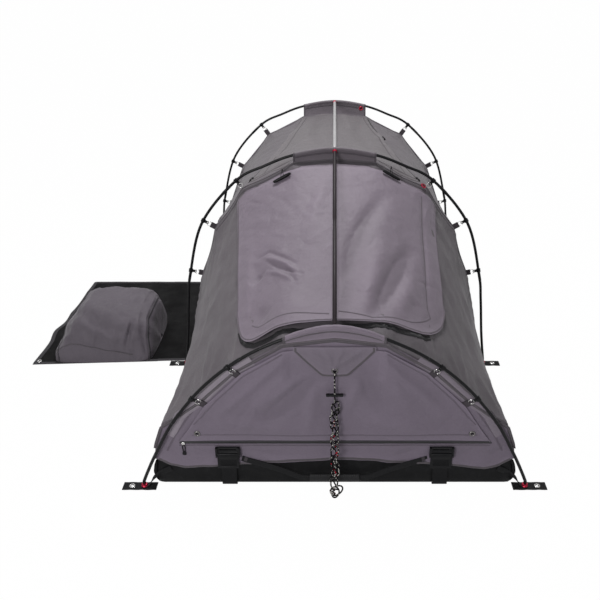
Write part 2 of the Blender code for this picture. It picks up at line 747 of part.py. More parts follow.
def make_peg_tab(name, x, y, side):
    """A peg tab: webbing on the ground with a peg hole and eyelet rim, and the pole's foot fitting."""
    inner = HALF_WIDTH + GAP
    outer = abs(x) + TAB_LENGTH * 0.57
    sides = 14
    hole = (abs(x) + TAB_LENGTH * 0.33, y)
    corners = [(inner, y - TAB_WIDTH / 2), (outer, y - TAB_WIDTH / 2), (outer, y + TAB_WIDTH / 2),
               (inner, y + TAB_WIDTH / 2)]
    work = bmesh.new()
    bottom = add_loop(work, [(side * a, b, 0.0) for a, b in corners])
    top = add_loop(work, [(side * a, b, TAB_THICKNESS) for a, b in corners])
    work.faces.new(bottom)
    work.faces.new(top)
    bridge(work, bottom, top)
    add_disc(work, (side * hole[0], hole[1]), EYELET_RADIUS, 0.0005, TAB_THICKNESS + EYELET_RIM, sides)
    add_disc(work, (x, y), FOOT_RADIUS, 0.0005, TAB_THICKNESS + FOOT_HEIGHT, sides)
    piece = joined_piece(work, name, "webbing")
    drill = bmesh.new()
    add_disc(drill, (side * hole[0], hole[1]), PEG_HOLE_RADIUS, -0.01, 0.03, sides)
    cutter = finish_mesh(drill, name + "_drill", "webbing")
    cutter.hide_render = True
    cutter.display_type = "WIRE"
    cut = piece.modifiers.new("peg_hole", "BOOLEAN")
    cut.operation = "DIFFERENCE"
    cut.object = cutter


def add_disc(work, centre, radius, low, high, sides):
    """A closed upright cylinder."""
    turn = [2 * math.pi * k / sides for k in range(sides)]
    bottom = add_loop(work, [(centre[0] + radius * math.cos(a), centre[1] + radius * math.sin(a), low)
                             for a in turn])
    top = add_loop(work, [(centre[0] + radius * math.cos(a), centre[1] + radius * math.sin(a), high)
                          for a in turn])
    work.faces.new(bottom)
    work.faces.new(top)
    bridge(work, bottom, top)


def make_peg_tabs():
    """A peg tab under each foot of each hoop."""
    for hoop, y in (("foot", FOOT_Y), ("mid", MID_Y), ("head", HEAD_Y)):
        for word, side in (("left", -1), ("right", 1)):
            make_peg_tab(f"{hoop}_tab_{word}", side * HOOP_HALF, y, side)


def strip_outline(points, thickness):
    """The outline of a strip of even thickness along points in a plane."""
    left, right = [], []
    for index, point in enumerate(points):
        before = Vector(points[max(index - 1, 0)])
        after = Vector(points[min(index + 1, len(points) - 1)])
        along = (after - before).normalized()
        across = Vector((-along.y, along.x)) * thickness / 2
        left.append(tuple(Vector(point) + across))
        right.append(tuple(Vector(point) - across))
    return left + list(reversed(right))


STRAP_MIDDLE = PANEL_FRONT - GAP - STRAP_THICKNESS / 2
STRAP_FRONT = STRAP_MIDDLE - STRAP_THICKNESS / 2
BUCKLE_BACK = STRAP_FRONT - GAP
BARREL_Y = BUCKLE_BACK - BUCKLE_DEPTH / 2
BARREL_Z = BUCKLE_TOP - BUCKLE_BAR - LEVER_BARREL - 0.003


def make_strap(word, side):
    """A carry strap: flat on the end wall, then a slack loop at the ground."""
    route = [(STRAP_MIDDLE, BUCKLE_TOP - 0.004), (STRAP_MIDDLE, 0.085), (STRAP_MIDDLE - 0.006, 0.055),
             (STRAP_MIDDLE - 0.016, 0.028), (STRAP_MIDDLE - 0.017, 0.012), (STRAP_MIDDLE - 0.009, 0.0035),
             (STRAP_MIDDLE + 0.002, 0.0022)]
    centre = side * STRAP_X
    half = STRAP_WIDTH / 2
    prism(f"strap_{word}", strip_outline(route, STRAP_THICKNESS), centre - half, centre + half,
          side_place, "webbing")


def make_buckle(word, side):
    """A strap buckle: a bar with two cheeks, and the lever that turns between them."""
    centre = side * STRAP_X
    half = BUCKLE_WIDTH / 2
    inner = half - BUCKLE_CHEEK
    bar_low = BUCKLE_TOP - BUCKLE_BAR
    cheek_low = bar_low - BUCKLE_CHEEK_DROP
    frame = [(half, cheek_low), (half, BUCKLE_TOP - 0.003), (half - 0.003, BUCKLE_TOP),
             (-half + 0.003, BUCKLE_TOP), (-half, BUCKLE_TOP - 0.003), (-half, cheek_low),
             (-inner, cheek_low), (-inner, bar_low), (inner, bar_low), (inner, cheek_low)]
    placed = [(centre + x, z) for x, z in frame]
    prism(f"buckle_frame_{word}", placed, BUCKLE_BACK, BUCKLE_BACK - BUCKLE_DEPTH, front_place, "plastic")
    pivot = empty_at(f"buckle_lever_{word}_hinge", (centre, BARREL_Y, BARREL_Z))
    half_plate = LEVER_THICKNESS / 2
    lean = math.degrees(math.asin(half_plate / LEVER_BARREL))
    profile = arc((BARREL_Y, BARREL_Z), LEVER_BARREL, -90 + lean, 270 - lean, 10)
    profile += [(BARREL_Y - half_plate, BARREL_Z - LEVER_LENGTH + 0.006),
                (BARREL_Y - half_plate - 0.003, BARREL_Z - LEVER_LENGTH),
                (BARREL_Y, BARREL_Z - LEVER_LENGTH),
                (BARREL_Y + half_plate, BARREL_Z - LEVER_LENGTH + 0.006)]
    prism(f"buckle_lever_{word}", profile, centre - inner + GAP, centre + inner - GAP, side_place,
          "plastic", pivot)


HANDLE_BACK = PANEL_FRONT - GAP
GRIP_Z = HANDLE_TOP - HANDLE_DROP


def make_handle():
    """The carry handle: webbing that hangs from its two sewn ends, and the grip on its middle."""
    pivot = empty_at("handle_hinge", (0.0, HANDLE_BACK, HANDLE_TOP))
    thickness = HANDLE_WEB_THICKNESS
    front = HANDLE_BACK - thickness / 2
    start_z = HANDLE_TOP - HANDLE_WEB / 2 - GAP
    half_route = [(GRIP_HALF, HANDLE_STANDOFF, GRIP_Z), (GRIP_HALF + 0.03, HANDLE_STANDOFF * 0.96, GRIP_Z),
                  (GRIP_HALF + 0.11, HANDLE_STANDOFF * 0.6, GRIP_Z + 0.032),
                  (HANDLE_HALF - 0.05, 0.004, start_z - 0.014), (HANDLE_HALF, 0.0, start_z)]
    knots = [Vector((x, front - out, z)) for x, out, z in half_route]
    route = [Vector((-k.x, k.y, k.z)) for k in reversed(knots)] + knots
    work = bmesh.new()
    rings = []
    for index, point in enumerate(route):
        before = route[max(index - 1, 0)]
        after = route[min(index + 1, len(route) - 1)]
        along = after - before
        up = Vector((-along.z, 0.0, along.x)).normalized() * HANDLE_WEB / 2
        out = Vector((0.0, thickness / 2, 0.0))
        rings.append(add_loop(work, [point - up - out, point + up - out, point + up + out, point - up + out]))
    for first, second in zip(rings, rings[1:]):
        bridge(work, first, second)
    work.faces.new(rings[0])
    work.faces.new(rings[-1])
    finish_mesh(work, "handle_strap", "webbing", pivot)
    make_grip(pivot, front - HANDLE_STANDOFF)


def make_grip(pivot, y):
    """The grip: a rounded sleeve round the handle's webbing."""
    outer = rounded_box(GRIP_DEPTH / 2, GRIP_HEIGHT / 2, 0.007, 2)
    inner = rounded_box(HANDLE_WEB_THICKNESS / 2 + GAP, HANDLE_WEB / 2 + GAP, 0.001, 2)
    half = GRIP_HALF - 0.003
    work = bmesh.new()
    rings = []
    for x, outline in ((-half, inner), (-half, outer), (half, outer), (half, inner)):
        rings.append(add_loop(work, [(x, y + a, GRIP_Z + b) for a, b in outline]))
    for first, second in zip(rings, rings[1:] + rings[:1]):
        bridge(work, first, second)
    finish_mesh(work, "handle_grip", "plastic", pivot, smooth=True)


def make_zip():
    """The slider on the zip under the foot cover's hem, and its cord pull."""
    top = HEM_HEIGHT - 0.002
    low = top - ZIP_HEIGHT
    back = PANEL_FRONT - GAP
    slider = empty_at("zip_slider_axis", (ZIP_X, back, low))
    half = ZIP_WIDTH / 2
    outline = [(ZIP_X - half, low), (ZIP_X + half, low), (ZIP_X + half, top - 0.003),
               (ZIP_X + half - 0.003, top), (ZIP_X - half + 0.003, top), (ZIP_X - half, top - 0.003)]
    prism("zip_slider", outline, back, back - ZIP_DEPTH, front_place, "metal", slider)
    half = PULL_WIDTH / 2
    pull_top = low - GAP
    pull_low = pull_top - PULL_LENGTH
    pull = [(ZIP_X - half * 0.4, pull_top), (ZIP_X - half * 0.5, pull_low + 0.022),
            (ZIP_X - half, pull_low + 0.014), (ZIP_X - half * 0.9, pull_low + 0.003),
            (ZIP_X, pull_low), (ZIP_X + half * 0.9, pull_low + 0.003),
            (ZIP_X + half, pull_low + 0.014), (ZIP_X + half * 0.5, pull_low + 0.022),
            (ZIP_X + half * 0.4, pull_top)]
    prism("zip_pull", pull, back, back - PULL_DEPTH, front_place, "rope", slider)


def rope_route():
    """The guy rope's centre line: out of the eyelet, down through the bar, the chain, then the coil."""
    exit_y = FLAP_FRONT - GAP
    chain_end_y = -HALF_LENGTH - ROPE_STANDOFF
    knots = [Vector((0.0, exit_y, ROPE_EXIT_HEIGHT)), Vector((0.0, exit_y - 0.006, ROPE_EXIT_HEIGHT)),
             Vector((0.0, exit_y - 0.014, ROPE_EXIT_HEIGHT - 0.005)),
             Vector((0.0, ROPE_Y, ROPE_EXIT_HEIGHT - 0.020)), Vector((0.0, ROPE_Y, ROPE_EXIT_HEIGHT - 0.05)),
             Vector((0.0, ROPE_Y, BAR_Z)), Vector((0.0, ROPE_Y, BAR_Z - 0.009)),
             Vector((0.001, ROPE_Y + CHAIN_LEAN * 0.4, BAR_Z - 0.018))]
    route = smooth_points(knots, 2)
    for index in range(CHAIN_LINKS * LOOP_POINTS + 1):
        t = index / LOOP_POINTS
        angle = 2 * math.pi * t
        down = CHAIN_PITCH * t - CHAIN_REACH * math.cos(angle)
        middle_y = ROPE_Y + (chain_end_y - ROPE_Y) * t / CHAIN_LINKS
        route.append(Vector((CHAIN_HALF_WIDTH * math.sin(angle), middle_y + CHAIN_LEAN * math.cos(angle),
                             CHAIN_TOP - down)))
    coil_top = COIL_LOW + COIL_TURNS * COIL_PITCH
    coil_y = chain_end_y + CHAIN_LEAN
    drop = route[-1].z - coil_top
    for share, out in ((0.25, 0.008), (0.5, 0.006), (0.75, -0.002)):
        route.append(Vector((out, coil_y, coil_top + drop * (1 - share))))
    for index in range(COIL_TURNS * LOOP_POINTS + 1):
        t = index / LOOP_POINTS
        angle = 2 * math.pi * t
        route.append(Vector((COIL_RADIUS * math.sin(angle),
                             coil_y - COIL_SQUASH * COIL_RADIUS * (1 - math.cos(angle)),
                             coil_top - COIL_PITCH * t)))
    return route


def least_gap(points, radius, skip):
    """The least gap between stretches of a tube that aren't near each other along it."""
    least = 1.0
    for first in range(len(points)):
        for second in range(first + skip, len(points)):
            gap = (points[first] - points[second]).length - 2 * radius
            least = min(least, gap)
    return least


def make_rope():
    """The guy rope and the bar tensioner on it."""
    pivot = empty_at("rope_hinge", (0.0, FLAP_BACK, FLAP_HINGE_HEIGHT))
    route = rope_route()
    length = sum((b - a).length for a, b in zip(route, route[1:]))
    print(f"guy rope {length:.3f} m in {len(route)} points, least gap to itself "
          f"{1000 * least_gap(route, ROPE_RADIUS, 5):.2f} mm, lowest {min(p.z for p in route):.4f}")
    tube("guy_rope", route, ROPE_RADIUS, "rope", 1, pivot)
    bar = empty_at("tensioner_axis", (0.0, ROPE_Y, BAR_Z))
    outer = rounded_box(BAR_LENGTH / 2, BAR_DEPTH / 2, 0.004, 2)
    half_bore = ROPE_RADIUS + 2 * GAP
    bore = rounded_box(half_bore, half_bore, ROPE_RADIUS, 2)
    bore = sorted(bore, key=lambda p: math.atan2(p[1], p[0]))
    outer = sorted(outer, key=lambda p: math.atan2(p[1], p[0]))
    work = bmesh.new()
    rings = []
    for z, outline in ((-0.5, bore), (-0.5, outer), (0.5, outer), (0.5, bore)):
        rings.append(add_loop(work, [(x, ROPE_Y + y, BAR_Z + z * BAR_HEIGHT) for x, y in outline]))
    for first, second in zip(rings, rings[1:] + rings[:1]):
        bridge(work, first, second)
    finish_mesh(work, "tensioner", "plastic", bar)


def make_mat():
    """The ground mat beside the left door."""
    outline = [(MAT_LEFT, MAT_NEAR), (MAT_RIGHT, MAT_NEAR + MAT_SKEW), (MAT_RIGHT, MAT_FAR),
               (MAT_LEFT + 0.03, MAT_FAR)]
    prism("ground_mat", outline, 0.0, MAT_THICKNESS, flat_place, "tub")


def make_bag():
    """The soft bag on the mat: a slumped shell, open at its right end."""
    base = MAT_THICKNESS + GAP
    stops = ((0.0, 0.72, 0.50), (0.06, 0.92, 0.74), (0.22, 1.0, 0.96), (0.5, 1.0, 1.0), (0.78, 0.97, 0.96),
             (0.92, 0.88, 0.86), (1.0, 0.74, 0.74))
    x0 = BAG_CENTRE[0] - BAG_WIDTH / 2

    def section(share, depth, height, inset):
        half = BAG_DEPTH / 2 * depth - inset
        top = BAG_HEIGHT * height - 2 * inset
        x = x0 + BAG_WIDTH * share
        angles = [math.pi * k / 8 for k in range(9)]
        ring = []
        for angle in angles:
            y = half * math.copysign(abs(math.cos(angle)) ** 0.6, math.cos(angle))
            z = top * math.sin(angle) ** 0.7 if 0 < angle < math.pi else 0.0
            ring.append((x, BAG_CENTRE[1] + y, base + inset + z))
        return ring

    work = bmesh.new()
    outer = [add_loop(work, section(share, depth, height, 0.0)) for share, depth, height in stops]
    inner = [add_loop(work, section(max(share, BAG_WALL / BAG_WIDTH), depth, height, BAG_WALL))
             for share, depth, height in stops]
    for first, second in zip(outer, outer[1:]):
        bridge(work, first, second)
    for first, second in zip(inner, inner[1:]):
        bridge(work, first, second)
    work.faces.new(outer[0])
    work.faces.new(inner[0])
    bridge(work, outer[-1], inner[-1])
    finish_mesh(work, "boot_bag", "canvas")


def main():
    """Builds every piece of the swag."""
    clear_scene()
    make_tub()
    make_mattress()
    make_front_canvas()
    make_rear_canvas()
    make_end_panels()
    make_window_cover()
    make_skylight_cover()
    make_foot_cover()
    make_peak_flap()
    make_door("door_left", -1)
    make_door("door_right", 1)
    routes = make_hoops()
    make_sleeves(routes)
    make_clips(routes)
    make_ridge_poles(routes)
    make_peg_tabs()
    for word, side in (("left", -1), ("right", 1)):
        make_strap(word, side)
        make_buckle(word, side)
    make_handle()
    make_zip()
    make_rope()
    make_mat()
    make_bag()


main()
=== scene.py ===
"""Looks of a double swag: canvas body, covers, poles, straps, rope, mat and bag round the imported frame."""

import logging
import math
from dataclasses import dataclass, field, replace
from enum import Enum
from typing import Callable, Optional, Sequence

import bpy
import numpy as np
from mathutils import Matrix, Vector, noise


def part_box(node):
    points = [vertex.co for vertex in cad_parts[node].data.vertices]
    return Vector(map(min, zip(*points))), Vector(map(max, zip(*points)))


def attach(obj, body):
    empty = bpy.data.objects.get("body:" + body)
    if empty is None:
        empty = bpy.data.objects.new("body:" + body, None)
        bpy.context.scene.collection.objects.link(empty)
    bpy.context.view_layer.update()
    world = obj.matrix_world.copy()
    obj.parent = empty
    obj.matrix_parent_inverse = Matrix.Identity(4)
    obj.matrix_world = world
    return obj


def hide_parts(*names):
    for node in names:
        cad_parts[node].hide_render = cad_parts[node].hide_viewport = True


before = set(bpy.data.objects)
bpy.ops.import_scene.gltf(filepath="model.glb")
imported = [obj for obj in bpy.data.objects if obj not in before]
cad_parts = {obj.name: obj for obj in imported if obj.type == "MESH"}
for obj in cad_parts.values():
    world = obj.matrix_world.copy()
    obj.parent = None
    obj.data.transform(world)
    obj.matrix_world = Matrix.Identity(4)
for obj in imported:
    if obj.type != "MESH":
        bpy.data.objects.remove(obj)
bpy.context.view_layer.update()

log = logging.getLogger("swag")

HALF_LENGTH = 1.075
HALF_WIDTH = 0.70
RIM = 0.1303
FOOT_Y = -1.095
MID_Y = -0.167
HEAD_Y = 1.095
POLE_RADIUS = 0.0064
HOOP_HALF = 0.75
HOOP_FOOT = 0.0153
PANEL_FACE = -1.0778
COVER_FACE = -1.0806
THREAD_PITCH = 0.0011
CLOTH = 0.0016
MAT_EDGE = -0.7003
FACING = (0, 2)
GAP = 0.0003
RIDGE_STOP, LAST_STOP = 6, 12
FOOT_HOOP, MID_HOOP, HEAD_HOOP = 0.716, 1.105, 1.057
COVER_HEM = 0.207
FLAP_LOW, FLAP_HIGH = 0.508, 0.6276
FLAP_FACE = -1.0834

Colour = tuple[float, float, float]
Piece = bpy.types.Object
Socket = bpy.types.NodeSocket
Outline = list[tuple[float, float]]
TALL_HOOP: Outline = [(0.972, 0.16), (0.946, 0.33), (0.92, 0.45), (0.82, 0.684), (0.597, 0.867),
                      (0.415, 0.932), (0.235, 0.977), (0.0, 1.0)]
LOW_HOOP: Outline = [(0.975, 0.10), (0.924, 0.215), (0.827, 0.408), (0.711, 0.574), (0.615, 0.683),
                     (0.509, 0.777), (0.395, 0.856), (0.273, 0.919), (0.130, 0.979), (0.0, 1.0)]
FOOT_STOPS: Outline = [(1.0, 0.0), (0.99, 0.10), (0.945, 0.27), (0.721, 0.492), (0.529, 0.740),
                       (0.270, 0.955), (0.0, 1.0)]
MID_STOPS: Outline = [(1.0, 0.0), (0.982, 0.055), (0.896, 0.405), (0.786, 0.655), (0.594, 0.858),
                      (0.257, 0.984), (0.0, 1.0)]
HEAD_STOPS: Outline = [(1.0, 0.0), (0.982, 0.055), (0.931, 0.345), (0.807, 0.620), (0.571, 0.850),
                       (0.257, 0.978), (0.0, 1.0)]


class Slot(Enum):
    """The record's material slots."""

    CANVAS = "canvas"
    TUB = "tub"
    POLE = "pole"
    WEBBING = "webbing"
    PLASTIC = "plastic"
    ANODISED = "anodised"
    FOAM = "foam"
    ROPE = "rope"
    METAL = "metal"


class Side(Enum):
    """Left and right as seen from the foot end."""

    LEFT = -1
    RIGHT = 1

    @property
    def word(self) -> str:
        """The side's name in node names."""
        return self.name.lower()


def outline_metres(stops: Outline, hoop_height: float, drop: float) -> Outline:
    """A canvas outline's right half, from the rim up to the ridge.

    Args:
        stops: shares of the half width and of the height over the rim.
        hoop_height: the height of the hoop above it.
        drop: how far the ridge of the canvas lies below the hoop's top.

    Returns:
        Points (x, z) in metres.
    """
    rise = hoop_height - drop - RIM
    return [(x * HALF_WIDTH, RIM + z * rise) for x, z in stops]


FOOT_LINE = outline_metres(FOOT_STOPS, FOOT_HOOP, 0.056)
MID_LINE = outline_metres(MID_STOPS, MID_HOOP, 0.045)
HEAD_LINE = outline_metres(HEAD_STOPS, HEAD_HOOP, 0.062)


def lengths_along(points: np.ndarray) -> np.ndarray:
    """How far along a route each of its points lies."""
    return np.concatenate(([0.0], np.cumsum(np.linalg.norm(np.diff(points, axis=0), axis=1))))


def unit(vectors: np.ndarray) -> np.ndarray:
    """A vector, or each row of vectors, made 1 long."""
    return vectors / np.maximum(np.linalg.norm(vectors, axis=-1, keepdims=True), 1e-9)


def resampled(knots: np.ndarray, count: int) -> np.ndarray:
    """A route through knots with as many points as asked for, evenly between the knots."""
    knots = np.asarray(knots, float)
    fine = np.linspace(0, len(knots) - 1, count)
    return np.stack([np.interp(fine, range(len(knots)), column) for column in knots.T], axis=1)


def height_over(line: Outline, x: np.ndarray) -> np.ndarray:
    """The height of an outline's right half, mirrored, over places across the swag."""
    distances, heights = zip(*reversed(line))
    return np.interp(np.abs(x), distances, heights)


def spline(knots: np.ndarray, shares: Sequence[float]) -> list[np.ndarray]:
    """Points on a smooth curve through knots, at the given shares of each span, and its last knot."""
    padded = np.vstack((2 * knots[0] - knots[1], knots, 2 * knots[-1] - knots[-2]))
    points = []
    for index in range(1, len(padded) - 2):
        before, start, end, after = padded[index - 1:index + 3]
        for t in shares:
            points.append(0.5 * (2 * start + (end - before) * t + (2 * before - 5 * start + 4 * end - after)
                                 * t ** 2 + (3 * start - before - 3 * end + after) * t ** 3))
    return [*points, padded[-2]]


class Graph:
    """A material's node tree, grown one node at a time."""

    def __init__(self, name: str) -> None:
        """Starts a material with a Principled shader and its output."""
        self.material = bpy.data.materials.new(name)
        self.material.use_nodes = True
        self.tree = self.material.node_tree
        self.tree.nodes.clear()
        self.shader = self.add("ShaderNodeBsdfPrincipled")
        self.output = self.add("ShaderNodeOutputMaterial")
        self.link(self.shader.outputs["BSDF"], self.output.inputs["Surface"])

    def add(self, kind: str, **settings: object) -> bpy.types.Node:
        """Adds a node; keyword values are set on the node or, failing that, on its input of that name."""
        node = self.tree.nodes.new(kind)
        for key, value in settings.items():
            if hasattr(node, key):
                setattr(node, key, value)
            else:
                node.inputs[key.replace("_", " ").title()].default_value = value
        return node

    def link(self, source: Socket, target: Socket) -> None:
        """Joins an output to an input."""
        self.tree.links.new(source, target)

    def maths(self, operation: str, first: object, second: object = 0.0, third: object = 0.0) -> Socket:
        """A Math node on numbers or sockets.

        Args:
            operation: the node's operation.
            first: a number or an output socket.
            second: likewise.
            third: likewise, for operations that take three.

        Returns:
            The node's output.
        """
        node = self.add("ShaderNodeMath", operation=operation)
        for index, value in enumerate((first, second, third)):
            if isinstance(value, Socket):
                self.link(value, node.inputs[index])
            else:
                node.inputs[index].default_value = float(value)
        return node.outputs[0]

    def times(self, first: object, second: object) -> Socket:
        """The product of two numbers or sockets."""
        return self.maths("MULTIPLY", first, second)

    def wave(self, value: Socket, rate: float) -> Socket:
        """The sine of a value times a rate."""
        return self.maths("SINE", self.times(value, rate))

    def flat(self) -> tuple[Socket, Socket]:
        """The two coordinates of the piece's UV map."""
        parts = self.add("ShaderNodeSeparateXYZ")
        self.link(self.place((1.0, 1.0, 1.0), True), parts.inputs[0])
        return parts.outputs["X"], parts.outputs["Y"]

    def place(self, scale: Sequence[float], uv: bool) -> Socket:
        """Scaled coordinates: the piece's own UV map in metres, or object coordinates."""
        coordinates = self.add("ShaderNodeTexCoord")
        mapping = self.add("ShaderNodeMapping")
        mapping.inputs["Scale"].default_value = scale
        self.link(coordinates.outputs["UV" if uv else "Object"], mapping.inputs["Vector"])
        return mapping.outputs["Vector"]

    def noise(self, scale: float, detail: float = 3.0, uv: bool = False,
              stretch: Sequence[float] = (1.0, 1.0, 1.0), kind: str = "FBM") -> Socket:
        """A noise texture's value from 0 to 1."""
        node = self.add("ShaderNodeTexNoise", noise_type=kind)
        node.inputs["Scale"].default_value = scale
        node.inputs["Detail"].default_value = detail
        self.link(self.place(stretch, uv), node.inputs["Vector"])
        return node.outputs["Fac"]

    def spread(self, value: Socket, low: float, high: float, start: float = 0.3,
               end: float = 0.7) -> Socket:
        """Maps a value from start..end to low..high."""
        node = self.add("ShaderNodeMapRange")
        for name, number in (("From Min", start), ("From Max", end), ("To Min", low), ("To Max", high)):
            node.inputs[name].default_value = number
        self.link(value, node.inputs["Value"])
        return node.outputs["Result"]

    def blend(self, factor: Socket, first: object, second: object) -> Socket:
        """Mixes two colours, each given as numbers or as a socket."""
        node = self.add("ShaderNodeMix", data_type="RGBA")
        self.link(factor, node.inputs["Factor"])
        for name, value in ((6, first), (7, second)):
            if isinstance(value, Socket):
                self.link(value, node.inputs[name])
            else:
                node.inputs[name].default_value = (*value, 1.0)
        return node.outputs[2]

    def shade(self, colour: object, value: Socket) -> Socket:
        """A colour, given as numbers or as a socket, made darker or lighter by a value round 1."""
        node = self.add("ShaderNodeVectorMath", operation="SCALE")
        if isinstance(colour, Socket):
            self.link(colour, node.inputs[0])
        else:
            node.inputs[0].default_value = colour
        self.link(value, node.inputs["Scale"])
        return node.outputs[0]

    def bump(self, height: Socket, distance: float, strength: float = 1.0,
             after: Optional[Socket] = None) -> Socket:
        """A bump from a height, on top of an earlier one."""
        node = self.add("ShaderNodeBump")
        node.inputs["Strength"].default_value = strength
        node.inputs["Distance"].default_value = distance
        self.link(height, node.inputs["Height"])
        if after is not None:
            self.link(after, node.inputs["Normal"])
        return node.outputs["Normal"]

    def attribute(self, name: str) -> Socket:
        """The value of a mesh attribute."""
        return self.add("ShaderNodeAttribute", attribute_name=name).outputs["Fac"]

    def finish(self, colour: Optional[Socket] = None, roughness: Optional[Socket] = None,
               normal: Optional[Socket] = None, **constants: object) -> bpy.types.Material:
        """Plugs the results into the shader and sets its constant sockets."""
        for name, socket in (("Base Color", colour), ("Roughness", roughness), ("Normal", normal)):
            if socket is not None:
                self.link(socket, self.shader.inputs[name])
        for name, value in constants.items():
            self.shader.inputs[name.replace("_", " ").title().replace("Ior", "IOR")].default_value = value
        return self.material


@dataclass(frozen=True)
class ClothFinish:
    """Woven cloth: crossing threads, slubs, mottled dye, pale edges from rubbing, and painted highlight on fold crests
    with painted shade in fold hollows.
    """

    name: str
    colour: Colour
    pitch: float = THREAD_PITCH
    relief: float = 0.00022
    roughness: float = 0.85
    mottle: float = 0.11
    # How strongly the per-point attribute changes the colour: pale edges from rubbing, plus painted fold highlight and
    # shade.
    rub: float = 0.22
    sheen: float = 0.08
    crumple: float = 0.0012
    gloss: float = 0.22

    def build(self) -> bpy.types.Material:
        """The material."""
        graph = Graph(self.name)
        weave = graph.times(*(graph.wave(thread, math.pi / self.pitch) for thread in graph.flat()))
        slub = graph.noise(38.0, 4.0, True, (1.0, 14.0, 1.0))
        streak = graph.noise(38.0, 4.0, True, (14.0, 1.0, 1.0))
        dye = graph.noise(3.4, 6.0)
        grain = graph.noise(620.0, 2.0)
        tone = graph.times(graph.spread(dye, 1 - self.mottle, 1 + self.mottle),
                           graph.spread(slub, 0.965, 1.035))
        tone = graph.times(tone, graph.spread(streak, 0.975, 1.025))
        tone = graph.times(tone, graph.spread(grain, 0.93, 1.07))
        # Painted shade: a little darker where the woven threads dip.
        tone = graph.times(tone, graph.spread(weave, 0.95, 1.05, -1.0, 1.0))
        # This attribute holds real paling from rubbing at the edges, and painted highlight and shade on the folds.
        rub_and_fold_tone = graph.times(graph.attribute("rub"), graph.spread(grain, 0.6, 1.3))
        tone = graph.maths("MULTIPLY_ADD", rub_and_fold_tone, self.rub, tone)
        height = graph.maths("MULTIPLY_ADD", graph.maths("ADD", slub, streak), 0.8, weave)
        normal = graph.bump(height, self.relief, 0.6)
        if self.crumple:
            ridges = graph.noise(5.0, 3.0, kind="RIDGED_MULTIFRACTAL")
            normal = graph.bump(ridges, self.crumple * 1.6, 0.8, normal)
            normal = graph.bump(graph.noise(6.5, 5.0), self.crumple * 5.0, 0.8, normal)
            normal = graph.bump(graph.noise(34.0, 4.0), self.crumple * 0.4, 0.5, normal)
        rough = graph.spread(dye, self.roughness - 0.05, min(1.0, self.roughness + 0.05))
        return graph.finish(graph.shade(self.colour, tone), rough, normal, sheen_weight=self.sheen,
                            sheen_roughness=0.6, specular_ior_level=self.gloss)


@dataclass(frozen=True)
class WebbingFinish:
    """Ribbed webbing: cords along the strap with cross threads, and a fine selvedge."""

    name: str
    colour: Colour
    rib: float = 0.0022
    roughness: float = 0.68

    def build(self) -> bpy.types.Material:
        """The material."""
        graph = Graph(self.name)
        x, y = graph.flat()
        ribs = graph.wave(x, 2 * math.pi / self.rib)
        picks = graph.wave(y, 2 * math.pi / (self.rib * 0.7))
        herring = graph.maths("SINE", graph.maths("MULTIPLY_ADD", y, 2 * math.pi / self.rib,
                                                  graph.times(ribs, 1.6)))
        weave = graph.maths("MULTIPLY_ADD", picks, 0.4, graph.maths("ADD", ribs, herring))
        fuzz = graph.noise(900.0, 2.0)
        # Painted shade and highlight: the colour is lighter on the ribs' crowns and darker in the grooves between them.
        tone = graph.times(graph.spread(weave, 0.78, 1.22, -2.0, 2.0), graph.spread(fuzz, 0.85, 1.2))
        normal = graph.bump(weave, 0.00028, 0.7)
        rough = graph.spread(fuzz, self.roughness - 0.1, self.roughness + 0.1)
        return graph.finish(graph.shade(self.colour, tone), rough, normal, sheen_weight=0.04, specular_ior_level=0.12)


@dataclass(frozen=True)
class CoatedFinish:
    """Coated floor cloth: a black film over coarse threads, with scuffs and soft creases."""

    name: str
    colour: Colour
    roughness: float = 0.38
    grain: float = 0.0016

    def build(self) -> bpy.types.Material:
        """The material."""
        graph = Graph(self.name)
        x, y = graph.flat()
        weave = graph.maths("ADD", graph.wave(x, 2 * math.pi / self.grain), graph.wave(y, 2 * math.pi / self.grain))
        scuff = graph.noise(9.0, 6.0)
        dust = graph.noise(46.0, 5.0)
        colour = graph.blend(graph.spread(dust, 0.0, 0.35, 0.5, 0.8), self.colour,
                             tuple(min(1.0, 2.4 * c + 0.006) for c in self.colour))
        normal = graph.bump(weave, 0.00016, 0.5)
        normal = graph.bump(scuff, 0.0035, 0.5, normal)
        rough = graph.spread(scuff, self.roughness - 0.08, self.roughness + 0.17)
        return graph.finish(colour, rough, normal, specular_ior_level=0.10)


@dataclass(frozen=True)
class HardFinish:
    """Moulded, plated or anodised material with fine grain, handling marks and an even gloss."""

    name: str
    colour: Colour
    roughness: float
    metallic: float = 0.0
    grain: float = 900.0
    relief: float = 0.00004
    brushed: bool = False
    gloss: float = 0.5

    def build(self) -> bpy.types.Material:
        """The material."""
        graph = Graph(self.name)
        stretch = (1.0, 1.0, 0.06) if self.brushed else (1.0, 1.0, 1.0)
        grain = graph.noise(self.grain, 3.0, stretch=stretch)
        marks = graph.noise(55.0, 6.0)
        tone = graph.times(graph.spread(grain, 0.93, 1.07), graph.spread(marks, 0.9, 1.1))
        rough = graph.spread(marks, max(0.04, self.roughness - 0.07), self.roughness + 0.1)
        return graph.finish(graph.shade(self.colour, tone), rough, graph.bump(grain, self.relief, 0.6),
                            metallic=self.metallic, specular_ior_level=self.gloss)


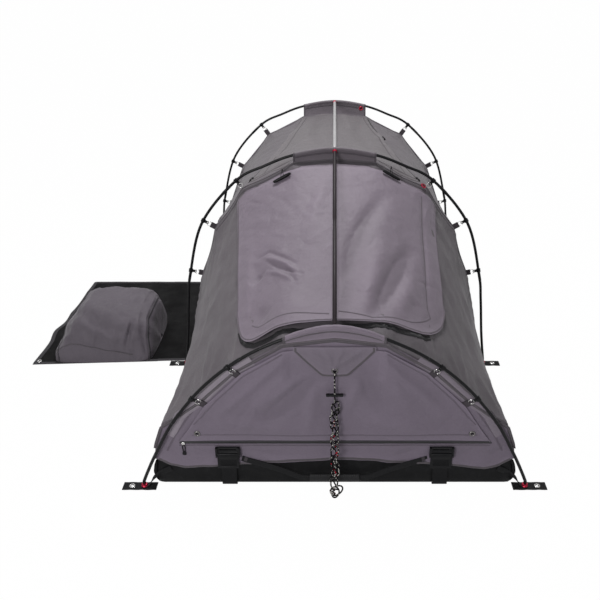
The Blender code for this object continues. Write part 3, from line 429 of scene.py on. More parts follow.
@dataclass(frozen=True)
class BraidFinish:
    """Braided cord: crossing strands round a tube, with pale flecks, a coloured tracer and painted shade towards each
    strand's edges.
    """

    name: str
    colour: Colour
    fleck: Colour
    tracer: Colour
    lay: float = 0.0085

    def build(self) -> bpy.types.Material:
        """The material; its UV map runs round the cord from 0 to 1 and along it in metres."""
        graph = Graph(self.name)
        x, y = graph.flat()
        turn = graph.times(x, 4.0)
        run = graph.maths("DIVIDE", y, self.lay)
        lays = [graph.maths(way, turn, run) for way in ("ADD", "SUBTRACT")]
        bulge = graph.times(*(graph.wave(graph.maths("FRACT", lay), math.pi) for lay in lays))
        cells = graph.add("ShaderNodeTexWhiteNoise", noise_dimensions="2D")
        pair = graph.add("ShaderNodeCombineXYZ")
        for lay, socket in zip(lays, pair.inputs):
            graph.link(graph.maths("FLOOR", lay), socket)
        graph.link(pair.outputs[0], cells.inputs["Vector"])
        pale = graph.maths("GREATER_THAN", cells.outputs["Value"], 0.84)
        patches = graph.noise(7.0, 2.0, True, (0.0, 1.0, 0.0))
        traced = graph.times(graph.maths("GREATER_THAN", patches, 0.58),
                             graph.maths("LESS_THAN", cells.outputs["Value"], 0.3))
        colour = graph.blend(pale, self.colour, self.fleck)
        colour = graph.blend(traced, colour, self.tracer)
        # Painted shade: each strand is darkest at its edges and lightest on its crown.
        colour = graph.shade(colour, graph.spread(bulge, 0.45, 1.1, 0.0, 1.0))
        return graph.finish(colour, graph.spread(bulge, 0.95, 0.7, 0.0, 1.0), graph.bump(bulge, 0.0005, 0.8),
                            sheen_weight=0.03, specular_ior_level=0.10)


@dataclass(frozen=True)
class ZipFinish:
    """A coil zip seen from above: two tapes with a row of fine teeth between them."""

    name: str
    colour: Colour
    tooth: float = 0.0024

    def build(self) -> bpy.types.Material:
        """The material; its UV map runs across the tape, with 0 at the teeth, and along it, in metres."""
        graph = Graph(self.name)
        x, y = graph.flat()
        off = graph.maths("ABSOLUTE", x)
        inside = graph.maths("LESS_THAN", off, 0.0032)
        teeth = graph.times(graph.wave(graph.maths("MULTIPLY_ADD", off, 0.6, y), 2 * math.pi / self.tooth), inside)
        height = graph.maths("ADD", teeth, graph.times(graph.wave(y, 2 * math.pi / THREAD_PITCH), 0.15))
        # Painted highlight and shade: the colour is lighter on each tooth's crown and darker between teeth.
        tone = graph.maths("MULTIPLY_ADD", teeth, 0.5, 1.0)
        rough = graph.maths("MULTIPLY_ADD", inside, -0.42, 0.85)
        return graph.finish(graph.shade(self.colour, tone), rough, graph.bump(height, 0.0006, 0.9))


@dataclass(frozen=True)
class StitchFinish:
    """A seam tape: two rows of lockstitch on the cloth's own weave."""

    name: str
    colour: Colour
    thread: Colour
    rows: tuple[float, ...] = (-0.003, 0.003)
    pitch: float = 0.004

    def build(self) -> bpy.types.Material:
        """The material; its UV map runs across the tape, with 0 in its middle, and along it, in metres."""
        graph = Graph(self.name)
        x, y = graph.flat()
        run = graph.maths("FRACT", graph.maths("DIVIDE", y, self.pitch))
        dash = graph.maths("LESS_THAN", run, 0.72)
        lines = None
        for row in self.rows:
            off = graph.maths("ABSOLUTE", graph.maths("SUBTRACT", x, row))
            line = graph.maths("LESS_THAN", off, 0.0006)
            lines = line if lines is None else graph.maths("MAXIMUM", lines, line)
        stitches = graph.times(lines, dash)
        weave = graph.times(graph.wave(x, math.pi / THREAD_PITCH), graph.wave(y, math.pi / THREAD_PITCH))
        grain = graph.noise(620.0, 2.0)
        pucker = graph.noise(130.0, 3.0)
        cloth = graph.shade(self.colour, graph.times(graph.spread(grain, 0.9, 1.1),
                                                     graph.spread(pucker, 0.93, 1.08)))
        colour = graph.blend(stitches, cloth, self.thread)
        normal = graph.bump(weave, 0.0002, 0.6)
        normal = graph.bump(graph.maths("SUBTRACT", pucker, graph.times(lines, 0.9)), 0.0008, 0.7, normal)
        return graph.finish(colour, graph.spread(grain, 0.8, 0.95), normal, sheen_weight=0.1,
                            specular_ior_level=0.25)


CANVAS = (0.105, 0.092, 0.104)
COVER_CLOTH = (0.176, 0.144, 0.181)
ROOF_CLOTH = (0.100, 0.088, 0.096)
WALL_CLOTH = (0.158, 0.130, 0.169)
CANVAS_FINISH = ClothFinish("ripstop canvas", CANVAS, roughness=0.56, crumple=0.0030, gloss=0.28)
COVER_FINISH = ClothFinish("window cover cloth", COVER_CLOTH, roughness=0.52, mottle=0.07, crumple=0.0034, gloss=0.34)
ROOF_FINISH = replace(COVER_FINISH, name="roof cover cloth", colour=ROOF_CLOTH)
WALL_CANVAS = ClothFinish("end wall canvas", WALL_CLOTH, roughness=0.60, mottle=0.06, crumple=0.0030, gloss=0.30)
# Lit copy of the wall cloth: the foot sleeve is painted lighter for the light on its top.
LIT_SLEEVE_CANVAS = replace(WALL_CANVAS, name="foot sleeve cloth", colour=(0.190, 0.156, 0.196))
FLAP_FINISH = replace(WALL_CANVAS, name="flap cloth", colour=(0.150, 0.126, 0.158))
# Painted highlight: lighter copies of the wall cloth for the lit band beside the foot arch; the left copy is brighter
# because the light falls from the left.
HIGHLIGHT_BAND_LEFT = ClothFinish("near strip", (0.235, 0.205, 0.240), roughness=0.60, mottle=0.06, gloss=0.30)
HIGHLIGHT_BAND_RIGHT = replace(HIGHLIGHT_BAND_LEFT, name="far strip", colour=(0.185, 0.158, 0.190))
# Shaded copy of the sleeve cloth: the mid and head sleeves are painted darker.
SHADED_SLEEVE_CANVAS = replace(WALL_CANVAS, name="sleeve canvas", colour=(0.128, 0.110, 0.127), mottle=0.08, crumple=0.0025)
BAG_CANVAS = ClothFinish("bag canvas", (0.106, 0.091, 0.110), roughness=0.6, crumple=0.0035, gloss=0.3)
FLOOR_CLOTH = CoatedFinish("floor cloth", (0.0075, 0.0075, 0.0082), roughness=0.45)
MAT_CLOTH = CoatedFinish("mat cloth", (0.0034, 0.0032, 0.0036), roughness=0.66)
FOAM_CLOTH = ClothFinish("mattress cover", (0.30, 0.31, 0.33), pitch=0.0018, relief=0.0003, crumple=0.003)
STRAP_WEB = WebbingFinish("strap webbing", (0.010, 0.010, 0.011))
TAB_WEB = WebbingFinish("tab webbing", (0.055, 0.048, 0.055))
BINDING = WebbingFinish("edge binding", (0.05, 0.047, 0.052), rib=0.003)
POLE_METAL = HardFinish("black pole", (0.008, 0.008, 0.009), 0.32, 0.0, 700.0, brushed=True, gloss=0.16)
GRIP_RUBBER = HardFinish("grip rubber", (0.020, 0.020, 0.021), 0.5, gloss=0.15)
# Painted reflection: the rear ridge pole is the same dark pole as the front one, coloured light grey for the overhead
# light that it reflects.
RIDGE_REFLECTION_GREY = HardFinish("ridge pole grey", (0.42, 0.41, 0.42), 0.36, 0.6, 700.0)
DARK_RIDGE = HardFinish("ridge pole dark", (0.022, 0.017, 0.020), 0.45, 0.0, 700.0, gloss=0.12)
BLACK_PLASTIC = HardFinish("black acetal", (0.007, 0.007, 0.008), 0.34, grain=400.0, relief=0.00006, gloss=0.16)
RED_METAL = HardFinish("red anodised", (0.40, 0.010, 0.04), 0.3, 0.6)
EYELET_METAL = HardFinish("darkened nickel", (0.17, 0.16, 0.16), 0.30, 1.0)
BRIGHT_METAL = HardFinish("nickel plate", (0.62, 0.61, 0.6), 0.2, 1.0)
ROPE_BRAID = BraidFinish("guy cord", (0.007, 0.006, 0.007), (0.66, 0.64, 0.60), (0.50, 0.010, 0.03))
PULL_CORD = BraidFinish("pull cord", (0.012, 0.012, 0.012), (0.03, 0.03, 0.03), (0.02, 0.02, 0.02))
ZIP_COIL = ZipFinish("coil zip", (0.014, 0.013, 0.015))
SEAM = StitchFinish("seam tape", (0.100, 0.088, 0.100), (0.055, 0.048, 0.055))
HEM = StitchFinish("hem tape", CANVAS, (0.075, 0.066, 0.075), (0.0,))
COVER_STITCH = StitchFinish("cover stitching", (0.142, 0.121, 0.144), (0.07, 0.06, 0.07), (0.0,))
ROOF_STITCH = StitchFinish("roof stitching", (0.096, 0.086, 0.093), (0.055, 0.049, 0.054), (0.0,))
WALL_HEM = StitchFinish("wall hem", (0.150, 0.126, 0.158), (0.095, 0.079, 0.100), (0.0,))
WALL_STITCH = StitchFinish("wall stitching", (0.138, 0.115, 0.145), (0.07, 0.058, 0.074), (0.0,))
# The painted highlight band's line on the foot wall, right half.
HIGHLIGHT_BAND_LINE: Outline = [(0.635, 0.235), (0.585, 0.325), (0.530, 0.405), (0.460, 0.475), (0.390, 0.535), (0.300, 0.590)]
COVER_LOW: Outline = [(0.430, -0.760), (0.427, -0.802), (0.415, -0.850), (0.390, -0.894), (0.361, -0.929),
                      (0.330, -0.948), (0.296, -0.958), (0.270, -0.965), (0.150, -0.990), (0.023, -1.008),
                      (-0.100, -1.013),
                      (-0.170, -1.014), (-0.224, -1.010), (-0.270, -1.006), (-0.298, -1.002), (-0.327, -0.985),
                      (-0.346, -0.955), (-0.358, -0.915), (-0.365, -0.875), (-0.374, -0.830)]
COVER_HIGH: Outline = [(0.447, -0.194), (0.0, -0.194), (-0.436, -0.194)]
COVER_STITCHES: tuple[Outline, ...] = (
    [(0.014, -0.968), (0.139, -0.974), (0.291, -0.924), (0.341, -0.884), (0.372, -0.844), (0.362, -0.809),
     (0.371, -0.563), (0.386, -0.237)],
    [(-0.020, -0.984), (-0.175, -0.974), (-0.284, -0.958), (-0.312, -0.929)])
COVER_FOLDS = (
    (((-0.275, -0.625), (-0.183, -0.707), (-0.143, -0.762)), 0.0085, 0.0066),
    (((-0.305, -0.610), (-0.263, -0.603), (-0.225, -0.642), (-0.153, -0.707)), 0.006, -0.0040),
    (((-0.268, -0.650), (-0.221, -0.706), (-0.168, -0.744), (-0.125, -0.766)), 0.0065, -0.0048),
    (((-0.264, -0.702), (-0.225, -0.729), (-0.167, -0.781)), 0.008, 0.0056),
    (((-0.199, -0.743), (-0.173, -0.758), (-0.150, -0.797)), 0.006, -0.0048),
    (((-0.311, -0.719), (-0.287, -0.700)), 0.012, -0.0070),
    (((-0.300, -0.870), (-0.250, -0.930)), 0.030, -0.0070),
    (((0.308, -0.564), (0.224, -0.776), (0.147, -0.946)), 0.030, -0.0120),
    (((0.191, -0.583), (0.107, -0.929)), 0.035, 0.0080),
    (((0.307, -0.714), (0.240, -0.893)), 0.030, 0.0080),
    (((0.204, -0.347), (0.113, -0.528), (0.069, -0.667), (0.047, -0.776)), 0.030, -0.0100),
    (((0.386, -0.237), (0.371, -0.563), (0.362, -0.809)), 0.010, -0.0035),
    (((-0.040, -0.260), (-0.090, -0.520)), 0.026, 0.0050),
    (((-0.330, -0.840), (-0.350, -0.560)), 0.020, 0.0040))
ROOF_FOLDS = (
    (((-0.240, 0.950), (-0.250, 0.550), (-0.330, 0.100)), 0.018, 0.0070),
    (((0.250, 0.900), (0.240, 0.500), (0.330, 0.100)), 0.018, 0.0070),
    (((0.050, 1.000), (0.080, 0.600)), 0.020, 0.0050),
    (((-0.080, 1.000), (-0.110, 0.500), (-0.060, 0.100)), 0.026, -0.0060),
    (((0.140, 0.900), (0.120, 0.500), (0.170, 0.100)), 0.030, -0.0060),
    (((-0.300, 0.100), (-0.120, 0.350)), 0.022, 0.0050))
FOOT_FOLDS = (
    (((-0.068, 0.500), (-0.150, 0.410), (-0.255, 0.310)), 0.030, -0.0070),
    (((-0.120, 0.530), (-0.300, 0.370)), 0.034, 0.0070),
    (((-0.160, 0.600), (-0.440, 0.330)), 0.020, 0.0045), (((0.140, 0.580), (0.260, 0.400)), 0.034, 0.0070),
    (((0.090, 0.540), (0.170, 0.380)), 0.026, -0.0050), (((0.150, 0.600), (0.400, 0.350)), 0.020, 0.0045),
    (((0.100, 0.500), (0.030, 0.340)), 0.026, 0.0045), (((-0.080, 0.460), (-0.100, 0.280)), 0.026, 0.0040),
    (((0.100, 0.330), (0.340, 0.270)), 0.030, 0.0040), (((-0.420, 0.300), (-0.120, 0.270)), 0.030, 0.0040))


class Finishes:
    """Each finish's material, built once when it is first asked for."""

    built: dict[str, bpy.types.Material] = {}

    @classmethod
    def of(cls, finish: object) -> bpy.types.Material:
        """The material of a finish."""
        if finish.name not in cls.built:
            cls.built[finish.name] = finish.build()
        return cls.built[finish.name]


class Bench:
    """Modelling steps that every sub-assembly shares."""

    @staticmethod
    def only(*pieces: Piece) -> None:
        """Selects these pieces alone; the first is active."""
        bpy.ops.object.select_all(action="DESELECT")
        for piece in pieces:
            piece.select_set(True)
        bpy.context.view_layer.objects.active = pieces[0]

    @staticmethod
    def settle(piece: Piece) -> Piece:
        """Moves a piece's place, turn and size into its mesh."""
        Bench.only(piece)
        bpy.ops.object.transform_apply(location=True, rotation=True, scale=True)
        return piece

    @staticmethod
    def apply(piece: Piece) -> Piece:
        """Applies every modifier of a piece."""
        Bench.only(piece)
        for modifier in list(piece.modifiers):
            bpy.ops.object.modifier_apply(modifier=modifier.name)
        return piece

    @staticmethod
    def edited(piece: Piece, step: Callable[..., set[str]], **settings: object) -> Piece:
        """Runs an edit-mode step on the whole of a mesh."""
        Bench.only(piece)
        bpy.context.tool_settings.mesh_select_mode = (True, False, False)
        bpy.ops.object.mode_set(mode="EDIT")
        bpy.ops.mesh.select_all(action="SELECT")
        step(**settings)
        bpy.ops.object.mode_set(mode="OBJECT")
        return piece

    @staticmethod
    def added(name: str, primitive: Callable[..., set[str]], **settings: object) -> Piece:
        """A mesh primitive to start a piece from."""
        bpy.ops.object.select_all(action="DESELECT")
        primitive(**settings)
        bpy.context.active_object.name = name
        return bpy.context.active_object

    @staticmethod
    def cut(piece: Piece, *tools: Piece) -> Piece:
        """Cuts tools out of a piece and removes them."""
        for tool in tools:
            cut = piece.modifiers.new("cut", "BOOLEAN")
            cut.operation = "DIFFERENCE"
            cut.object = tool
        Bench.apply(piece)
        for tool in tools:
            Bench.drop(tool)
        return piece

    @staticmethod
    def thicken(piece: Piece, thickness: float, offset: float) -> bpy.types.Modifier:
        """Starts to give a sheet its thickness; the modifier is still to be applied."""
        body = piece.modifiers.new("body", "SOLIDIFY")
        body.thickness = thickness
        body.offset = offset
        return body

    @staticmethod
    def quads(rows: int, columns: int) -> list[tuple[int, int, int, int]]:
        """The faces of a grid of points, columns first."""
        return [(k, k + 1, k + columns + 1, k + columns)
                for row in range(rows - 1) for k in range(row * columns, (row + 1) * columns - 1)]

    @staticmethod
    def box(name: str, size: Sequence[float], centre: Sequence[float] = (0, 0, 0), bevel: float = 0.0,
            segments: int = 2) -> Piece:
        """A block with rounded edges, its place in its mesh."""
        piece = Bench.added(name, bpy.ops.mesh.primitive_cube_add, size=1.0, location=centre)
        piece.scale = size
        Bench.settle(piece)
        return Bench.bevel(piece, bevel, segments) if bevel else piece

    @staticmethod
    def rod(name: str, radius: float, length: float, centre: Sequence[float] = (0, 0, 0), sides: int = 24,
            turn: Sequence[float] = (0, 0, 0), bevel: float = 0.0) -> Piece:
        """A round rod along Z before it is turned, with softened ends."""
        piece = Bench.added(name, bpy.ops.mesh.primitive_cylinder_add, vertices=sides, radius=radius, depth=length,
                            location=centre, rotation=turn)
        Bench.settle(piece)
        return Bench.bevel(piece, bevel, 2) if bevel else piece

    @staticmethod
    def ring(name: str, radius: float, wire: float, centre: Sequence[float] = (0, 0, 0),
             turn: Sequence[float] = (0, 0, 0), around: int = 28) -> Piece:
        """A wire ring, its place in its mesh."""
        piece = Bench.added(name, bpy.ops.mesh.primitive_torus_add, major_radius=radius, minor_radius=wire,
                            major_segments=around, minor_segments=10, location=centre, rotation=turn)
        return Bench.smooth(Bench.settle(piece))

    @staticmethod
    def bevel(piece: Piece, width: float, segments: int = 2, angle: float = 30.0) -> Piece:
        """Rounds a piece's sharp edges and smooths it by angle."""
        rounding = piece.modifiers.new("rounding", "BEVEL")
        rounding.width = width
        rounding.segments = segments
        rounding.limit_method = "ANGLE"
        rounding.angle_limit = math.radians(angle)
        Bench.apply(piece)
        return Bench.smooth(piece)

    @staticmethod
    def smooth(piece: Piece, angle: float = 40.0) -> Piece:
        """Shades a piece smooth below an angle."""
        Bench.only(piece)
        bpy.ops.object.shade_smooth_by_angle(angle=math.radians(angle))
        return piece

    @staticmethod
    def paint(piece: Piece, finish: object) -> Piece:
        """Gives a piece one finish."""
        piece.data.materials.clear()
        piece.data.materials.append(Finishes.of(finish))
        return piece

    @staticmethod
    def join(name: str, pieces: Sequence[Piece]) -> Piece:
        """Joins pieces into one object, with their finishes kept."""
        if len(pieces) > 1:
            Bench.only(*pieces)
            bpy.ops.object.join()
        pieces[0].name = name
        return pieces[0]

    @staticmethod
    def copy(model: Piece, name: str, matrix: Matrix) -> Piece:
        """A copy of a finished model, with its own mesh, put in place by a matrix."""
        piece = Bench.linked(name, model.data.copy())
        piece.data.transform(matrix)
        if matrix.determinant() < 0:
            piece.data.flip_normals()
        return piece

    @staticmethod
    def drop(model: Piece) -> None:
        """Removes a model that was only there to be copied."""
        bpy.data.objects.remove(model, do_unlink=True)

    @staticmethod
    def frame_at(origin: Vector, x_axis: Vector, y_axis: Vector) -> Matrix:
        """A matrix that puts a model's X and Y along two directions at a place."""
        first = x_axis.normalized()
        third = first.cross(y_axis).normalized()
        second = third.cross(first)
        matrix = Matrix((first, second, third)).transposed().to_4x4()
        matrix.translation = origin
        return matrix

    @staticmethod
    def linked(name: str, data: bpy.types.ID) -> Piece:
        """A new object of the scene, from its data."""
        piece = bpy.data.objects.new(name, data)
        bpy.context.scene.collection.objects.link(piece)
        return piece

    @staticmethod
    def mesh(name: str, points: np.ndarray, faces: Sequence[Sequence[int]], uvs: Optional[np.ndarray] = None,
             rub: Optional[np.ndarray] = None) -> Piece:
        """An object from points and faces, with a UV map in metres and a value for each point of edge paling from
        rubbing plus painted fold highlight and shade.
        """
        data = bpy.data.meshes.new(name)
        data.from_pydata([tuple(p) for p in points], [], [list(f) for f in faces])
        data.update()
        if uvs is not None:
            layer = data.uv_layers.new(name="cloth")
            corners = np.zeros(len(data.loops), np.int32)
            data.loops.foreach_get("vertex_index", corners)
            layer.data.foreach_set("uv", np.asarray(uvs, np.float32)[corners].ravel())
        if rub is not None:
            layer = data.attributes.new("rub", "FLOAT", "POINT")
            layer.data.foreach_set("value", np.asarray(rub, np.float32).ravel())
        return Bench.linked(name, data)

    @staticmethod
    def tube(name: str, route: np.ndarray, radius: float | np.ndarray, sides: int = 12) -> Piece:
        """A smooth round tube along a route, with a UV map round it from 0 to 1 and along it in metres."""
        route = np.asarray(route, float)
        radii = np.broadcast_to(np.asarray(radius, float), (len(route),))
        tangent = unit(np.gradient(route, axis=0))
        side = np.cross(tangent[0], (0.0, 0.0, 1.0))
        if np.linalg.norm(side) < 0.1:
            side = np.cross(tangent[0], (1.0, 0.0, 0.0))
        frames = []
        for direction in tangent:
            side = unit(side - direction * np.dot(side, direction))
            frames.append((side, np.cross(direction, side)))
        angles = np.linspace(0.0, 2 * math.pi, sides + 1)
        run = lengths_along(route)
        points, uvs, faces = [], [], []
        for index, (centre, (first, second)) in enumerate(zip(route, frames)):
            for angle in angles[:-1]:
                points.append(centre + radii[index] * (math.cos(angle) * first + math.sin(angle) * second))
        for index in range(len(route) - 1):
            for k in range(sides):
                after = (k + 1) % sides
                faces.append((index * sides + k, index * sides + after, (index + 1) * sides + after,
                              (index + 1) * sides + k))
                uvs += [(k / sides, run[index]), ((k + 1) / sides, run[index]),
                        ((k + 1) / sides, run[index + 1]), (k / sides, run[index + 1])]
        faces += [tuple(reversed(range(sides))), tuple(range((len(route) - 1) * sides, len(route) * sides))]
        uvs += [(0.5, run[0])] * sides + [(0.5, run[-1])] * sides
        data = bpy.data.meshes.new(name)
        data.from_pydata([tuple(p) for p in points], [], faces)
        layer = data.uv_layers.new(name="cloth")
        layer.data.foreach_set("uv", np.asarray(uvs, np.float32).ravel())
        data.polygons.foreach_set("use_smooth", [True] * len(data.polygons))
        return Bench.linked(name, data)

    @staticmethod
    def strip(name: str, route: Sequence[Vector], across: Sequence[Vector], width: float, thickness: float,
              columns: int = 4) -> Piece:
        """A flat strap along a route, centred on it, with a UV map across and along it in metres."""
        route_points = np.array([tuple(p) for p in route])
        sides = np.array([tuple(p.normalized()) for p in across])
        run = lengths_along(route_points)
        points, uvs = [], []
        for row, centre in enumerate(route_points):
            for column in range(columns + 1):
                off = (column / columns - 0.5) * width
                points.append(centre + sides[row] * off)
                uvs.append((off, run[row]))
        faces = Bench.quads(len(route_points), columns + 1)
        piece = Bench.mesh(name, np.array(points), faces, np.array(uvs), np.zeros(len(points)))
        Bench.thicken(piece, thickness, 0.0)
        rounding = piece.modifiers.new("edges", "BEVEL")
        rounding.width = thickness * 0.3
        rounding.segments = 2
        rounding.limit_method = "ANGLE"
        Bench.apply(piece)
        return Bench.smooth(piece)

    @staticmethod
    def place(piece: Piece, body: str, slot: Slot, *nodes: str) -> Piece:
        """Makes a piece ride on a body and stands it in for CAD nodes, which it hides."""
        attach(piece, body)
        if nodes:
            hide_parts(*nodes)
        log.info("%s rides on %s, %d faces", piece.name, body, len(piece.data.polygons))
        return piece


def plane_noise(u: np.ndarray, v: np.ndarray, seed: float) -> np.ndarray:
    """Smooth noise over a plane, from about -1 to 1, the same on every run.

    Args:
        u: first coordinates, one cell of the noise to a unit.
        v: second coordinates.
        seed: shifts the pattern.

    Returns:
        The noise at each point.
    """
    cell_u, cell_v = np.floor(u), np.floor(v)
    inner_u, inner_v = u - cell_u, v - cell_v

    def corner(a: float, b: float) -> np.ndarray:
        """The slope noise of one corner of each cell."""
        mixed = np.sin((cell_u + a) * 127.1 + (cell_v + b) * 311.7 + seed * 74.7) * 43758.5453
        angle = 2 * math.pi * (mixed - np.floor(mixed))
        return np.cos(angle) * (inner_u - a) + np.sin(angle) * (inner_v - b)

    soft_u = inner_u ** 3 * (inner_u * (inner_u * 6 - 15) + 10)
    soft_v = inner_v ** 3 * (inner_v * (inner_v * 6 - 15) + 10)
    low = corner(0, 0) * (1 - soft_u) + corner(1, 0) * soft_u
    high = corner(0, 1) * (1 - soft_u) + corner(1, 1) * soft_u
    return (low * (1 - soft_v) + high * soft_v) * 1.4


@dataclass(frozen=True)
class Crease:
    """A fold line in a cloth's own plane: raised when its height is over 0, sunk when under."""

    path: tuple[tuple[float, float], ...]
    width: float
    height: float

    def lift(self, u: np.ndarray, v: np.ndarray) -> np.ndarray:
        """How far the fold lifts each point."""
        knots = np.array(self.path)
        runs = np.diff(knots, axis=0)
        lengths = np.linalg.norm(runs, axis=1)
        before = np.concatenate(([0.0], np.cumsum(lengths)))
        nearest = np.full(np.shape(u), 1e9)
        place = np.zeros(np.shape(u))
        for start, run, length, gone in zip(knots, runs, lengths, before):
            share = np.clip(((u - start[0]) * run[0] + (v - start[1]) * run[1]) / length ** 2, 0.0, 1.0)
            off = np.hypot(u - start[0] - share * run[0], v - start[1] - share * run[1])
            closer = off < nearest
            nearest = np.where(closer, off, nearest)
            place = np.where(closer, (gone + share * length) / before[-1], place)
        fade = np.sin(math.pi * np.clip(0.10 + 0.80 * place, 0, 1)) ** 0.8
        return self.height * np.exp(-(nearest / self.width) ** 2) * fade


def creased(u: np.ndarray, v: np.ndarray, folds: Sequence[tuple], scale: float = 1.0) -> np.ndarray:
    """The lift of a list of folds, each given as its path, its width and its height."""
    total = np.zeros(np.shape(u))
    for path, width, height in folds:
        total = total + Crease(path, width, height * scale).lift(u, v)
    return total


def scattered(seed: int, count: int, low: Sequence[float], high: Sequence[float], length: float, width: float,
              height: float, lean: float = 0.9) -> list[tuple]:
    """Small folds strewn over a rectangle of a cloth, each with a slight bend.

    Args:
        seed: starts the same strewing on every run.
        count: how many.
        low: the rectangle's least corner.
        high: its greatest corner.
        length: the middling length of a fold.
        width: the middling width.
        height: the greatest height; every other fold is sunk.
        lean: the angle that they mostly run at.

    Returns:
        The folds, for creased().
    """
    dice = np.random.default_rng(seed)
    folds = []
    for index in range(count):
        place = dice.uniform(low, high)
        turn = dice.choice((-1.0, 1.0)) * lean + dice.normal(0.0, 0.35)
        run = np.array((math.cos(turn), math.sin(turn))) * length * dice.uniform(0.5, 1.5) / 2
        bend = np.array((-run[1], run[0])) * dice.uniform(-0.3, 0.3)
        folds.append(((tuple(place - run), tuple(place + bend), tuple(place + run)), width * dice.uniform(0.6, 1.5),
                      height * dice.uniform(0.3, 1.0) * (-1.0) ** index))
    return folds


@dataclass
class Surface:
    """A cloth surface as a grid of points, which its mesh and all that is sewn on it share."""

    points: np.ndarray

    def normals(self) -> np.ndarray:
        """The outward direction at each point."""
        along = np.gradient(self.points, axis=0)
        across = np.gradient(self.points, axis=1)
        return unit(np.cross(along, across))

    def flat(self) -> np.ndarray:
        """Each point's place in the flat cloth, in metres: across from the middle column, and along."""
        across = np.linalg.norm(np.diff(self.points, axis=1), axis=2)
        across = np.concatenate((np.zeros((len(self.points), 1)), np.cumsum(across, axis=1)), axis=1)
        across -= across[:, across.shape[1] // 2][:, None]
        along = np.linalg.norm(np.diff(self.points, axis=0), axis=2)
        along = np.concatenate((np.zeros((1, self.points.shape[1])), np.cumsum(along, axis=0)), axis=0)
        return np.stack((across, along), axis=2)

    def cut_size(self) -> tuple[float, float]:
        """The width and length of the flat cloth."""
        flat = self.flat()
        return float(np.mean(np.ptp(flat[..., 0], axis=1))), float(np.mean(np.ptp(flat[..., 1], axis=0)))

    def area(self) -> float:
        """How much cloth it takes."""
        sides = np.cross(self.points[1:, 1:] - self.points[:-1, :-1], self.points[1:, :-1] - self.points[:-1, 1:])
        return float(np.linalg.norm(sides, axis=2).sum() / 2)

    def facing_up(self, row: int, column: int) -> "Surface":
        """The surface, turned over if it faces down at a point."""
        return self if self.normals()[row, column, 2] >= 0 else Surface(self.points[:, ::-1])

    def lifted(self, height: np.ndarray | float) -> "Surface":
        """The surface moved outwards by a height at each point."""
        height = np.broadcast_to(np.asarray(height, float), self.points.shape[:2])
        return Surface(self.points + self.normals() * height[..., None])

    def at(self, across: float, along: float, lift: float = 0.0) -> Vector:
        """A point of the surface by its shares of the columns and rows, lifted off it."""
        rows, columns = self.points.shape[:2]
        row = min(max(along, 0.0), 1.0) * (rows - 1)
        column = min(max(across, 0.0), 1.0) * (columns - 1)
        r, c = min(int(row), rows - 2), min(int(column), columns - 2)
        fr, fc = row - r, column - c

        def mix(grid: np.ndarray) -> np.ndarray:
            """Bilinear value of a grid."""
            return ((grid[r, c] * (1 - fc) + grid[r, c + 1] * fc) * (1 - fr)
                    + (grid[r + 1, c] * (1 - fc) + grid[r + 1, c + 1] * fc) * fr)

        return Vector(mix(self.points) + mix(self.cached_normals) * lift)

    def over(self, x: float, y: float, lift: float = 0.0) -> Vector:
        """The point of a sloping surface at a place seen from above; its rows lie evenly along Y."""
        rows, columns = self.points.shape[:2]
        near, far = self.points[0, 0, 1], self.points[-1, 0, 1]
        along = min(max((y - near) / (far - near), 0.0), 1.0)
        row = min(int(along * (rows - 1)), rows - 2)
        part = along * (rows - 1) - row
        xs = self.points[row, :, 0] * (1 - part) + self.points[row + 1, :, 0] * part
        return self.at(float(np.interp(-x, -xs, np.linspace(0.0, 1.0, columns))), along, lift)

    def shares(self, places: Sequence[tuple[float, float]], axes: tuple[int, int]) -> list[tuple[float, float]]:
        """Shares of the columns and rows at places given by two of the three axes."""
        first, second = self.points[..., axes[0]], self.points[..., axes[1]]
        rows, columns = first.shape
        found = []
        for a, b in places:
            row, column = np.unravel_index(np.argmin((first - a) ** 2 + (second - b) ** 2), first.shape)
            row, column = min(max(row, 1), rows - 2), min(max(column, 1), columns - 2)
            slope = np.array([[(grid[row + 1, column] - grid[row - 1, column]) / 2,
                               (grid[row, column + 1] - grid[row, column - 1]) / 2] for grid in (first, second)])
            step = np.linalg.solve(slope, np.array((a - first[row, column], b - second[row, column])))
            found.append(((column + float(np.clip(step[1], -2, 2))) / (columns - 1),
                          (row + float(np.clip(step[0], -2, 2))) / (rows - 1)))
        return found

    @property
    def cached_normals(self) -> np.ndarray:
        """The outward directions, worked out once."""
        if not hasattr(self, "_normals"):
            self._normals = self.normals()
        return self._normals

    def mesh(self, name: str, finish: object, thickness: float = 0.0016, rub_width: float = 0.02,
             left_out: Optional[np.ndarray] = None, fold_shade: Optional[np.ndarray] = None) -> Piece:
        """The cloth's mesh, its outer side on the surface.

        Args:
            name: the piece's name.
            finish: its finish.
            thickness: how far the cloth goes inwards.
            rub_width: how far in from its edges the cloth is paled by rubbing.
            left_out: cells, by row and column, that have no cloth.
            fold_shade: how far each point stands out of its fold; its crests get a painted highlight and its hollows
                painted shade.

        Returns:
            The finished piece.
        """
        rows, columns = self.points.shape[:2]
        flat = self.flat()
        keep = np.ones((rows - 1, columns - 1), bool) if left_out is None else ~left_out
        edge = np.minimum(np.minimum(flat[..., 1] - flat[..., 1].min(0), flat[..., 1].max(0) - flat[..., 1]),
                          np.minimum(flat[..., 0] - flat[..., 0].min(1)[:, None],
                                     flat[..., 0].max(1)[:, None] - flat[..., 0]))
        rub = np.exp(-np.maximum(edge, 0.0) / rub_width)
        # Painted fold highlight and shade, added to the real paling from rubbing at the edges.
        if fold_shade is not None:
            rub = rub + fold_shade
        faces = []
        for row, column in zip(*np.nonzero(keep)):
            first = row * columns + column
            faces.append((first, first + columns, first + columns + 1, first + 1))
        piece = Bench.mesh(name, self.points.reshape(-1, 3), faces, flat.reshape(-1, 2), rub.ravel())
        if left_out is not None:
            Bench.edited(piece, bpy.ops.mesh.delete_loose)
        Bench.thicken(piece, thickness, -1.0)
        return Bench.paint(Bench.smooth(Bench.apply(piece), 60.0), finish)

